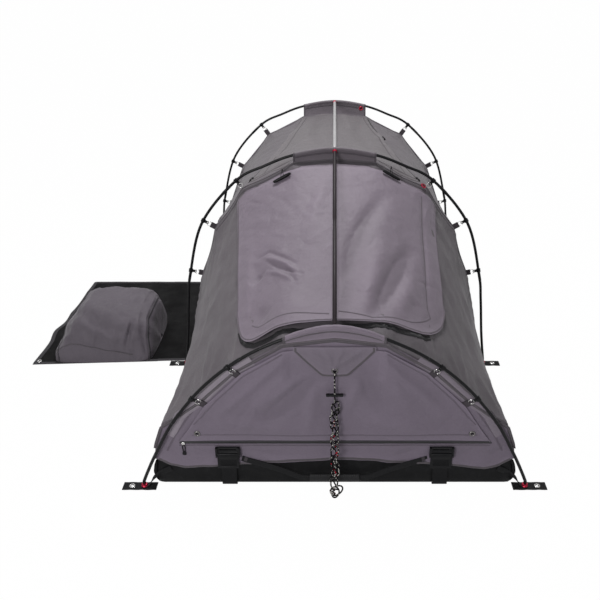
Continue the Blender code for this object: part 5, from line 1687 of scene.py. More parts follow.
    def rear_section(self) -> None:
        """The rear section's canvas with its two doorways, seams and door surrounds."""
        rows, columns = self.rear.points.shape[:2]
        first, last = self.doorway_rows()
        mask = np.zeros((rows - 1, columns - 1), bool)
        cell = (self.stops[:-1] + self.stops[1:]) / 2
        doorway = ((cell > 1) & (cell < 3)) | ((cell > 9) & (cell < 11))
        mask[first:last, :] = doorway[None, :]
        piece = self.rear.mesh("rear_section_canvas", CANVAS_FINISH, CLOTH, left_out=mask)
        Bench.place(piece, "swag", Slot.CANVAS, "rear_canvas")
        width, length = self.rear.cut_size()
        edge = 0.013
        low, high = first / (rows - 1) - edge, last / (rows - 1) + edge
        tapes = [*self.across(self.rear, ((0.008, 0.018), (0.992, 0.018))),
                 *self.down(self.rear, (0.12, 11.88), 0.012, HEM, 0.0012)]
        for sign in (1, -1):
            below, above = (self.share_of(RIDGE_STOP - sign * (RIDGE_STOP - stop)) for stop in (0.93, 3.09))
            loop = [(above, low), (below, low), (below, high), (above, high), (above, low)]
            tapes += self.rear.border("surround", loop, 0.022, SEAM, 0.0022, 90)
        sewn("rear_section_seams", tapes)

    def doorway_rows(self) -> tuple[int, int]:
        """The first and last row of the doorways."""
        return 6, len(self.rear.points) - 7

    def door(self, side: Side) -> None:
        """A side door: its canvas, its zip round three sides, and a stitched window outline."""
        first, last = self.doorway_rows()
        low, high = (1.0, 3.0) if side is Side.RIGHT else (9.0, 11.0)
        chosen = np.nonzero((self.stops >= low - 1e-6) & (self.stops <= high + 1e-6))[0]
        grid = self.rear.points[first:last + 1][:, chosen].copy()
        hinge = len(chosen) - 1 if side is Side.RIGHT else 0
        for axis in (0, 1):
            count = grid.shape[axis]
            for edge, nearby in ((0, 1), (count - 1, count - 2)):
                inset = 0.0050 if axis == 1 and edge == hinge else 0.0024
                lines = grid.swapaxes(0, axis)
                lines[edge] += unit(lines[nearby] - lines[edge]) * inset
        surface = Surface(grid).lifted(0.0002)
        name = f"door_{side.word}"
        piece = surface.mesh(name + "_canvas", CANVAS_FINISH, CLOTH)
        Bench.place(piece, name, Slot.CANVAS, name)
        self.declare(piece, surface, "rear_section_canvas", held="hung")
        hem, foot, low, high = (1.0, 0.022, 0.16, 0.86) if side is Side.RIGHT else (0.0, 0.978, 0.84, 0.14)
        rim = [(hem, 0.012), (foot, 0.012), (foot, 0.988), (hem, 0.988)]
        sewn(name + "_zip", surface.border("zip", rim, 0.016, ZIP_COIL, 0.0016, 90), name, Slot.METAL)
        loop = [(low, 0.12), (low, 0.88), (high, 0.86), (high, 0.14), (low, 0.12)]
        sewn(name + "_seams", surface.border("panel", loop, 0.012, SEAM, 0.0014, 70), name)

    def patch(self, base: Surface, edge: Callable[[float], float], start: float, end: float, rows: int,
              columns: int, lift: float) -> Surface:
        """A cover's surface on the canvas: from start to end along it, and edge(share) out from the ridge.

        Args:
            base: the canvas it lies on.
            edge: the cover's half width at a share of its length, as a share of the canvas's half columns.
            start: where it starts along the canvas.
            end: where it ends.
            rows: rows of points.
            columns: columns of points.
            lift: how far it lies off the canvas.

        Returns:
            The cover's smooth surface.
        """
        grid = [[tuple(base.at(0.5 + off * edge(share), start + (end - start) * share, lift))
                 for off in np.linspace(-0.5, 0.5, columns)] for share in np.linspace(0.0, 1.0, rows)]
        return Surface(np.array(grid))

    def window_cover(self) -> None:
        """The storm cover over the sloping window, with its hem, turned corners and two toggles."""
        low, high = np.array(COVER_LOW), np.array(COVER_HIGH)
        rows, columns = 170, 180
        run = lengths_along(low)
        share = np.linspace(0.0, 1.0, columns)
        lower = soften(np.stack([np.interp(share, run / run[-1], axis) for axis in low.T], axis=1), 6)
        upper = resampled(high, columns)
        lines = lower + (upper - lower) * np.linspace(0.0, 1.0, rows)[:, None, None]
        base = Surface(np.array([[tuple(self.front_base.over(x, y)) for x, y in line] for line in lines]))
        x, y = base.points[..., 0], base.points[..., 1]
        lift = 0.007 + plane_noise(x / 0.17, y / 0.34, 41.0) * 0.0060
        lift += plane_noise((x + y) / 0.05, (x - y) / 0.12, 43.0) * 0.0012
        folds = creased(x, y, COVER_FOLDS, 1.5)
        folds += creased(x, y, scattered(5, 70, (-0.40, -0.98), (0.40, -0.24), 0.10, 0.008, 0.0022))
        bulge = 0.012 * np.exp(-((x + 0.16) ** 2 + (y + 0.916) ** 2) / 0.09 ** 2)
        lift = lift + folds + bulge + 0.016 * np.exp(-((y + 1.0) / 0.09) ** 2 - ((x + 0.12) / 0.20) ** 2)
        tip = np.linspace(0.0, 1.0, rows)[:, None]
        lift = lift + 0.004 * np.exp(-tip / 0.03)
        lift = np.maximum(lift, -0.0030) * np.clip((1 - tip) / 0.03, 0.25, 1.0)
        surface = base.lifted(lift)
        # The folds' heights also paint highlight on their crests and shade in their hollows.
        piece = surface.mesh("window_cover_cloth", COVER_FINISH, 0.0015, fold_shade=folds * 45.0)
        Bench.place(piece, "swag", Slot.CANVAS, "window_cover")
        self.declare(piece, surface, "front_slope_canvas", held="laid")
        tapes = [surface.tape("hem", surface.shares(path, (0, 1)), 0.006, COVER_STITCH, 0.0010, 160)
                 for path in COVER_STITCHES]
        edge = [(0.006, 0.97), (0.006, 0.3), (0.006, 0.012), (0.5, 0.006), (0.994, 0.012), (0.994, 0.3), (0.994, 0.97)]
        tapes.append(surface.tape("edge", edge, 0.007, COVER_STITCH, 0.0012, 320))
        sewn("window_cover_hems", tapes)
        # A black coil zip laid just below the cover's lower edge: it is a zip, and it also paints the shadow in the gap
        # under that raised edge.
        under = self.front.shares([tuple(point) for point in low[4:-2] - (0.0, 0.012)], (0, 1))
        sewn("window_zip", [self.front.tape("zip", under, 0.022, ZIP_COIL, 0.0030, 200)], slot=Slot.METAL)
        for name, start, end in (("window_toggle_left", (-0.188, -0.233), (-0.262, -0.240)),
                                 ("window_toggle_right", (0.206, -0.208), (0.282, -0.213))):
            self.toggle(name, self.front_base.over(*start, 0.017), self.front_base.over(*end, 0.017))

    def toggle(self, name: str, start: Vector, end: Vector) -> None:
        """A long waisted toggle from one place to another, with a loop of cord round its waist."""
        along = end - start
        shares = np.array([-0.5, -0.49, -0.44, -0.2, -0.08, 0.08, 0.2, 0.44, 0.49, 0.5])
        radii = np.array([0.45, 0.65, 0.8, 1.0, 0.95, 0.95, 1.0, 0.8, 0.65, 0.45]) * 0.0078
        middle = (start + end) / 2
        body = Bench.tube(name, np.array(middle) + np.array(along) * shares[:, None], radii, 18)
        rise = Vector((0.0, 0.62, 0.55))
        foot = middle - rise * 0.004
        top = middle + rise * 0.055
        spread = along.normalized() * 0.007
        knots = [top, middle + rise * 0.012 - spread, foot - spread * 0.6, foot + spread * 0.6,
                 middle + rise * 0.012 + spread, top]
        loop = Bench.tube("loop", soften(resampled(np.array(knots), 26), 3), 0.0015, 8)
        sewn(name, [Bench.paint(body, BLACK_PLASTIC), Bench.paint(loop, PULL_CORD)], slot=Slot.PLASTIC)

    def skylight_cover(self) -> None:
        """The cover over the rear roof, with a zip and pull down each side."""
        wide = 1.0 - 2 * self.share_of(4.08)
        narrow = 1.0 - 2 * self.share_of(4.93)
        rows, columns = 84, 70
        outline = (lambda share: wide + (narrow - wide) * share ** 0.9, 0.035, 0.965, rows, columns)
        base = self.patch(self.rear_base, *outline, 0.0046)
        x, y = base.points[..., 0], base.points[..., 1]
        lift = 0.005 + plane_noise(x / 0.16, y / 0.4, 61.0) * 0.0065 + plane_noise(x / 0.05, y / 0.12, 63.0) * 0.0014
        folds = creased(x, y, ROOF_FOLDS, 1.5)
        folds += creased(x, y, scattered(6, 50, (-0.34, -0.12), (0.34, 1.02), 0.13, 0.010, 0.0022, 1.2))
        down, over = np.linspace(0, 1, rows)[:, None], np.linspace(0, 1, columns)[None, :]
        ends = np.clip(np.minimum(down, 1 - down) / 0.03, 0.2, 1.0)
        surface = base.lifted(np.maximum(lift + folds, -0.002) * ends)
        resting = self.patch(self.rear, *outline, 0.0018)
        held = np.exp(-np.minimum(down, 1 - down) / 0.015) + np.exp(-np.minimum(over, 1 - over) / 0.012)
        held = np.clip(held, 0.0, 1.0)[..., None]
        surface = Surface(surface.points * (1 - held) + resting.points * held)
        # The folds' heights also paint highlight on their crests and shade in their hollows.
        piece = surface.mesh("skylight_cover_cloth", ROOF_FINISH, 0.0015, fold_shade=folds * 40.0)
        Bench.place(piece, "swag", Slot.CANVAS, "skylight_cover")
        self.declare(piece, surface, "rear_section_canvas", held="laid")
        sewn("skylight_zips", [surface.tape("zip", [(a, 0.02), (a, 0.98)], width, ZIP_COIL, 0.0018, 160)
                               for a, width in ((0.012, 0.013), (0.99, 0.008))], slot=Slot.METAL)
        tapes = [surface.tape("hem", [(a, 0.02), (a, 0.98)], 0.008, ROOF_STITCH, 0.0011, 160) for a in (0.09, 0.91)]
        tapes += [surface.tape("hem", [(0.02, b), (0.98, b)], 0.010, ROOF_STITCH, 0.0011, 120) for b in (0.02, 0.975)]
        sewn("skylight_hems", tapes)
        for word, across, along, drop in (("left", 0.984, 0.03, -1), ("right", 0.016, 0.03, 1),
                                          ("top", 0.018, 0.62, 1)):
            place = surface.at(across, along, 0.004)
            slider = Bench.box("slider", (0.010, 0.016, 0.005), (0, 0, 0), 0.0015)
            slider.data.transform(Matrix.Translation(place))
            end = place + Vector((drop * 0.012, -0.030, -0.010))
            route = np.array([place + (end - place) * t + Vector((0, 0, 0.004 * math.sin(math.pi * t)))
                              for t in np.linspace(0, 1, 10)])
            radii = np.interp(np.linspace(0, 1, 10), (0, 0.45, 0.6, 0.9, 1), (0.0012, 0.0013, 0.0035, 0.0042, 0.002))
            cord = Bench.paint(Bench.tube("pull", route, radii, 10), PULL_CORD)
            sewn(f"skylight_pull_{word}", [Bench.paint(slider, BLACK_PLASTIC), cord], slot=Slot.PLASTIC)

    def wall(self, line: Outline, low: Callable[[np.ndarray], np.ndarray], face: float, rows: int, columns: int,
             half: float) -> Surface:
        """An upright sheet from a lower edge up to an outline, in the plane of an end wall."""
        x = np.linspace(half, -half, columns) * (1 if face < 0 else -1)
        top = height_over(line, x)
        bottom = np.minimum(low(x), top - 0.002)
        share = np.linspace(0.0, 1.0, rows)[:, None]
        z = bottom[None, :] * (1 - share) + top[None, :] * share
        grid = np.stack((np.broadcast_to(x, z.shape), np.full(z.shape, face), z), axis=2)
        return Surface(grid)

    def end_walls(self) -> None:
        """The foot wall with its skirt, and the head wall with its vent seams."""

        def skirt(x: np.ndarray) -> np.ndarray:
            """The skirt's wavy lower edge, which dips near its ends and rises at the corners."""
            sweep = np.interp(np.abs(x), (0.0, 0.28, 0.455, 0.585, 0.64, 0.685, 0.70),
                              (0.118, 0.105, 0.093, 0.081, 0.094, 0.122, 0.124))
            return sweep + 0.0025 * np.sin(x * 7.0 + 1.0) + 0.0018 * np.sin(x * 19.0)

        for word, line, face in (("foot", FOOT_LINE, PANEL_FACE), ("head", HEAD_LINE, -PANEL_FACE)):
            base = self.wall(line, skirt, face, 90, 190, HALF_WIDTH - 0.001)
            x, z = base.points[..., 0], base.points[..., 2]
            low = np.clip((0.142 - z) / 0.035, 0.0, 1.0)
            lift = -np.abs(plane_noise(x / 0.2, z / 0.2, 71.0)) * 0.004 * (1 - low)
            ruffle = plane_noise((x + z) / 0.09, (x - z) / 0.07, 73.0) * 0.0040
            lift = lift + low * (0.0030 + 0.0016 * np.sin(x * 23.0 + 4 * z) + ruffle)
            folds = [(((side * (0.66 - 0.10 * k), 0.19), (side * (0.58 - 0.13 * k), 0.105)), 0.012, 0.005)
                     for side in (-1, 1) for k in range(4)]
            band = np.exp(-((z - 0.160) / 0.022) ** 2)
            drape = creased(x, z, folds)
            lift = lift + drape * low - np.abs(drape) * 0.9 * band
            if word == "head":
                folds = [(((side * 0.5, 0.7), (side * 0.2, 0.3)), 0.03, 0.005) for side in (-1, 1)]
                lift = lift + plane_noise(x / 0.22, z / 0.3, 77.0) * 0.004 + creased(x, z, folds)
            hold = np.clip((height_over(line, x) - z) / 0.02, 0.0, 1.0)
            lift = np.where(z < 0.134, np.maximum(lift, 0.0004), lift)
            surface = base.lifted(np.clip(lift, -0.006, 0.010) * hold)
            piece = surface.mesh(word + "_wall_canvas", WALL_CANVAS, CLOTH)
            Bench.place(piece, "swag", Slot.CANVAS, word + "_panel")
            surface.area()
            tapes = [surface.tape("rim", [(0.004, 0.985), (0.996, 0.985)], 0.014, SEAM, 0.0018, 260),
                     surface.tape("hem", [(0.01, 0.012), (0.99, 0.012)], 0.010, HEM, 0.0012, 200)]
            tapes += self.border_seams(surface) if word == "foot" else self.vent_seams(surface)
            sewn(word + "_wall_seams", tapes)

    @staticmethod
    def border_seams(surface: Surface) -> list[Piece]:
        """The seams between the foot cover and the arch, a painted highlight band of lighter cloth beside each,
        brighter on the left where the light falls, and the zip tape's lower seam.
        """
        tapes = []
        for side in (-1, 1):
            places = resampled([(0.205, 0.622), (0.36, 0.535), (0.512, 0.382), (0.612, 0.235), (0.650, 0.160)], 40)
            tapes.append(surface.tape("border", surface.shares(places * (side, 1), FACING), 0.009, WALL_STITCH, 0.0012,
                                      120))
            # A painted highlight band beside the seam, brighter on the left where the light falls.
            strip = surface.shares(np.array(HIGHLIGHT_BAND_LINE) * (side, 1), FACING)
            tapes.append(surface.tape("strip", strip, 0.042, HIGHLIGHT_BAND_LEFT if side < 0 else HIGHLIGHT_BAND_RIGHT, CLOTH, 120))
        under = surface.shares(resampled([(-0.60, 0.188), (0.60, 0.188)], 60), FACING)
        return [*tapes, surface.tape("under", under, 0.008, WALL_STITCH, 0.0011, 200)]

    @staticmethod
    def vent_seams(surface: Surface) -> list[Piece]:
        """The head wall's panel seams round its vent flap."""
        loop = [(-0.32, 0.30), (0.32, 0.30), (0.28, 0.66), (0.12, 0.80), (-0.12, 0.80), (-0.28, 0.66), (-0.32, 0.30)]
        return [surface.tape("vent", surface.shares(resampled(ends, 30), FACING), 0.012, SEAM, 0.0015, 60)
                for ends in zip(loop, loop[1:])]

    def foot_cover(self) -> None:
        """The storm cover over the foot window, with its hem and two eyelets."""
        line = [(0.599, COVER_HEM), (0.556, 0.268), (0.491, 0.37), (0.338, 0.52), (0.186, 0.61), (0.0, 0.618)]
        base = self.wall(line, lambda x: np.full(x.shape, COVER_HEM), COVER_FACE, 96, 200, line[0][0] - 0.001)
        x, z = base.points[..., 0], base.points[..., 2]
        lift = 0.0026 + plane_noise(x / 0.26, z / 0.20, 83.0) * 0.0050 + plane_noise(x / 0.08, z / 0.06, 85.0) * 0.0010
        folds = creased(x, z, FOOT_FOLDS, 2.1)
        folds += creased(x, z, scattered(7, 46, (-0.52, 0.23), (0.52, 0.60), 0.09, 0.009, 0.0017, 0.7))
        rim = np.clip((z - COVER_HEM) / 0.02, 0.35, 1.0)
        flap = np.clip((0.19 - np.abs(x)) / 0.03, 0.0, 1.0) * np.clip((z - 0.48) / 0.03, 0.0, 1.0)
        surface = base.lifted(np.clip(lift + folds, 0.0, 0.0135) * rim * (1 - flap) + 0.0006 * flap)
        # The folds' heights also paint highlight on their crests and shade in their hollows.
        piece = surface.mesh("foot_cover_cloth", WALL_CANVAS, 0.0015, fold_shade=folds * 30.0)
        Bench.place(piece, "swag", Slot.CANVAS, "foot_cover")
        surface.area()
        arch = [(0.535, 0.286), (0.500, 0.325), (0.445, 0.395), (0.330, 0.508), (0.190, 0.598)]
        hem = surface.shares(resampled([(-0.545, 0.240), (0.545, 0.240)], 60), FACING)
        tapes = [surface.tape("hem", hem, 0.007, WALL_HEM, 0.0010, 220),
                 surface.tape("lip", [(0.003, 0.008), (0.997, 0.008)], 0.008, BINDING, 0.0012, 220)]
        tapes += [surface.tape("arch", surface.shares(np.array(arch) * (side, 1), FACING), 0.007, WALL_HEM, 0.0011, 120)
                  for side in (-1, 1)]
        sewn("foot_cover_hems", tapes)
        for side in Side:
            x, z = side.value * 0.525, 0.247
            self.eyelet(f"cover_eyelet_{side.word}", (x, surface_y(surface, x, z), z), "swag")

    @staticmethod
    def eyelet(name: str, place: Sequence[float], body: str) -> None:
        """A plated eyelet: a rolled rim, a washer and a black disc in the hole that paints its shade, facing the foot
        end.
        """
        x, y, z = place
        radius, turn = 0.0125, (math.pi / 2, 0, 0)
        rim = Bench.ring("rim", radius * 0.72, radius * 0.26, (x, y - radius * 0.10, z), turn, around=36)
        washer = Bench.ring("washer", radius * 0.92, radius * 0.10, (x, y - radius * 0.06, z), turn, around=36)
        # Painted shade: a black disc fills the hole where only shade would be seen.
        dark = Bench.rod("dark", radius * 0.55, 0.0012, (x, y + 0.0004, z), 24, turn)
        sewn(name, [Bench.paint(rim, EYELET_METAL), Bench.paint(washer, EYELET_METAL),
                    Bench.paint(dark, BLACK_PLASTIC)], body, Slot.METAL)

    def peak_flap(self) -> None:
        """The flap that carries the guy rope."""
        z = np.linspace(FLAP_LOW, FLAP_HIGH, 44)[:, None]
        width = np.interp(z, (FLAP_LOW, 0.61, FLAP_HIGH), (0.045, 0.15, 0.15))
        width = width * (0.80 + 0.20 * np.sqrt(np.clip((z - FLAP_LOW) / 0.012, 0.0, 1.0)))
        x = np.linspace(1.0, -1.0, 60)[None, :] * width
        grid = np.stack(np.broadcast_arrays(x, FLAP_FACE, z), axis=2)
        down = (FLAP_HIGH - z) / 0.12
        lift = 0.0015 * down + 0.0055 * down * (1 - np.abs(x) / 0.16)
        centre = (0.0, 0.545)
        folds = [((centre, end), width, height) for end, width, height in (
            ((0.10, 0.615), 0.010, 0.0045), ((-0.09, 0.612), 0.010, 0.0045), ((0.03, 0.62), 0.009, 0.0035),
            ((-0.04, 0.62), 0.009, 0.0030))]
        surface = Surface(grid).lifted(lift + creased(x, np.broadcast_to(z, x.shape), folds))
        piece = surface.mesh("peak_flap_cloth", FLAP_FINISH, 0.0015)
        Bench.place(piece, "peak_flap", Slot.CANVAS, "peak_flap")
        edge = [(0.03, 0.98), (0.02, 0.5), (0.03, 0.04), (0.5, 0.03), (0.97, 0.04), (0.98, 0.5), (0.97, 0.98)]
        sewn("peak_flap_hem", [surface.tape("edge", edge, 0.008, HEM, 0.0011, 200)], "peak_flap")
        self.eyelet("peak_eyelet", (0.0, surface_y(surface, 0.0, 0.533) + 0.0008, 0.533), "peak_flap")

    def build(self) -> None:
        """Every piece of canvas."""
        self.front_slope()
        self.rear_section()
        self.end_walls()
        self.window_cover()
        self.skylight_cover()
        self.foot_cover()
        self.peak_flap()
        self.piping()
        for side in Side:
            self.door(side)


def surface_y(surface: Surface, x: float, z: float) -> float:
    """How far out an upright surface stands at a place on it."""
    points = surface.points.reshape(-1, 3)
    nearest = np.argmin((points[:, 0] - x) ** 2 + (points[:, 2] - z) ** 2)
    return float(points[nearest, 1])


@dataclass
class Bedding:
    """The coated floor tub and the foam mattress in it."""

    length: float = 2.15
    width: float = 1.40
    wall: float = 0.003
    corner: float = 0.02

    def plan(self, inset: float) -> np.ndarray:
        """Places round a rounded rectangle, anticlockwise from above, at the shares that its first use settles.

        Args:
            inset: how far inside the tub's outside it lies.

        Returns:
            Points (x, y).
        """
        half = np.array((self.width / 2, self.length / 2)) - inset
        radius = max(self.corner - inset, 0.004)
        corners = []
        for sx, sy, start in ((1, 1, 0), (-1, 1, 90), (-1, -1, 180), (1, -1, 270)):
            for step in range(9):
                angle = math.radians(start + 90 * step / 8)
                corners.append(((half[0] - radius) * sx + radius * math.cos(angle),
                                (half[1] - radius) * sy + radius * math.sin(angle)))
        loop = np.array(corners + corners[:1])
        run = lengths_along(loop)
        marks = np.unique(np.concatenate((run[:-1], np.linspace(0, run[-1], 460, endpoint=False))))
        if not hasattr(self, "shares"):
            self.shares = marks / run[-1]
        return np.stack([np.interp(self.shares * run[-1], run, axis) for axis in loop.T], axis=1)

    def tub(self) -> None:
        """The tub: welded walls with soft bulges and folded corners, a rim and a floor."""
        profile = [(0.30, 0.0), (0.05, 0.0), (0.012, 0.0003), (0.004, 0.002), (0.0, 0.009), (0.0, 0.03), (0.0, 0.05),
                   (0.0, 0.07), (0.0, 0.09), (0.0, 0.11), (0.0, 0.124), (0.0, 0.1296), (0.0015, 0.1302),
                   (0.0030, 0.1296), (0.0030, 0.09), (0.0030, 0.05), (0.0030, 0.015), (0.0038, 0.0036), (0.012, 0.0030),
                   (0.30, 0.0030)]
        points, uvs = [], []
        rings = [self.plan(inset) for inset, _ in profile]
        outside = self.plan(0.0)
        spread = np.maximum(np.linalg.norm(outside, axis=1), 1e-6)[:, None]
        x, y = outside.T
        near = np.exp(-((np.abs(x) - 0.695) / 0.03) ** 2 - ((np.abs(y) - 1.07) / 0.03) ** 2)
        for index, (flat_ring, (_, z), down) in enumerate(zip(rings, profile, lengths_along(np.array(profile)))):
            upright = 3 < index < 17
            free = math.sin(math.pi * min(max(z, 0.0) / 0.097, 1.0)) if upright else 0.0
            bulge = plane_noise(x / 0.14 + 9 * y, y / 0.13 + z / 0.05, 91.0) * 0.0035 * free
            bulge += plane_noise(x / 0.045, y / 0.045 + z / 0.03, 93.0) * 0.0018 * free
            if index < 12:
                bulge += near * 0.012 * free
            ring = flat_ring + outside / spread * bulge[:, None]
            points += [(*place, z) for place in ring]
            uvs += [(share * 7.0, down) for share in self.shares] if upright else [tuple(place) for place in ring]
        count = len(self.shares)
        faces = []
        for row in range(len(profile) - 1):
            for k in range(count):
                after = (k + 1) % count
                faces.append((row * count + k, row * count + after, (row + 1) * count + after, (row + 1) * count + k))
        faces.append(tuple(reversed(range(count))))
        faces.append(tuple(range((len(profile) - 1) * count, len(profile) * count)))
        piece = Bench.mesh("tub_wall", np.array(points), faces, np.array(uvs), np.zeros(len(points)))
        Bench.smooth(Bench.edited(piece, bpy.ops.mesh.normals_make_consistent, inside=False), 50.0)
        Bench.place(Bench.paint(piece, FLOOR_CLOTH), "swag", Slot.TUB, "tub")
        self.welts()

    def welts(self) -> None:
        """The bound rim where the canvas is sewn to the tub, and the corner folds."""
        parts = []
        ring = self.plan(-0.0006)
        route = [Vector((x, y, 0.1225)) for x, y in np.vstack((ring, ring[:1]))]
        rim = Bench.strip("rim", route, [Vector((0, 0, 1))] * len(route), 0.013, 0.0016, 4)
        parts.append(Bench.paint(rim, STRAP_WEB))
        folds = ((0.012, 0.0010, 0.003), (0.03, 0.0065, 0.0065), (0.06, 0.0100, 0.0085), (0.09, 0.0070, 0.0065),
                 (0.112, 0.0020, 0.003))
        for sx in (-1, 1):
            for sy in (-1, 1):
                knots = resampled([(sx * (0.6945 + out), sy * (1.0695 + out * 0.6), z, radius)
                                   for z, out, radius in folds], 21)
                fold = Bench.tube("fold", soften(knots[:, :3], 3), knots[:, 3], 14)
                parts.append(Bench.paint(fold, FLOOR_CLOTH))
        sewn("tub_rim_binding", parts, slot=Slot.TUB)

    def mattress(self) -> None:
        """The foam mattress in its cover: a rounded slab, domed a little."""
        low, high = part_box("mattress")
        size = np.array(high) - np.array(low)
        centre = (np.array(low) + np.array(high)) / 2
        piece = Bench.box("mattress_cover", tuple(size), tuple(centre))
        grid = piece.modifiers.new("grid", "SUBSURF")
        grid.subdivision_type = "SIMPLE"
        grid.levels = grid.render_levels = 6
        Bench.apply(piece)
        half = size / 2
        for vertex in piece.data.vertices:
            off = np.array(vertex.co) - centre
            edge = np.clip((half - np.abs(off)) / 0.03, 0.0, 1.0)
            round_xy = min(edge[0], edge[1])
            if off[2] > 0:
                quilt = noise.noise(Vector((off[0] * 5.0, off[1] * 5.0, 3.0))) * 0.004
                dome = 0.72 + 0.28 * math.sin(round_xy * math.pi / 2)
                vertex.co.z = centre[2] + off[2] * dome - 0.003 + quilt * 0.6
            squeeze = 0.010 * (off[2] / half[2]) ** 2
            vertex.co.x -= math.copysign(squeeze, off[0]) * (1 - edge[0])
            vertex.co.y -= math.copysign(squeeze, off[1]) * (1 - edge[1])
        bpy.ops.object.select_all(action="DESELECT")
        layer = piece.data.uv_layers.active or piece.data.uv_layers.new(name="cloth")
        layer.name = "cloth"
        for loop in piece.data.loops:
            place = piece.data.vertices[loop.vertex_index].co
            layer.data[loop.index].uv = (place.x + place.z, place.y + place.z)
        rub = piece.data.attributes.new("rub", "FLOAT", "POINT")
        rub.data.foreach_set("value", [0.0] * len(piece.data.vertices))
        Bench.smooth(piece, 60.0)
        Bench.place(Bench.paint(piece, FOAM_CLOTH), "swag", Slot.FOAM, "mattress")

    def build(self) -> None:
        """The tub and the mattress."""
        self.tub()
        self.mattress()


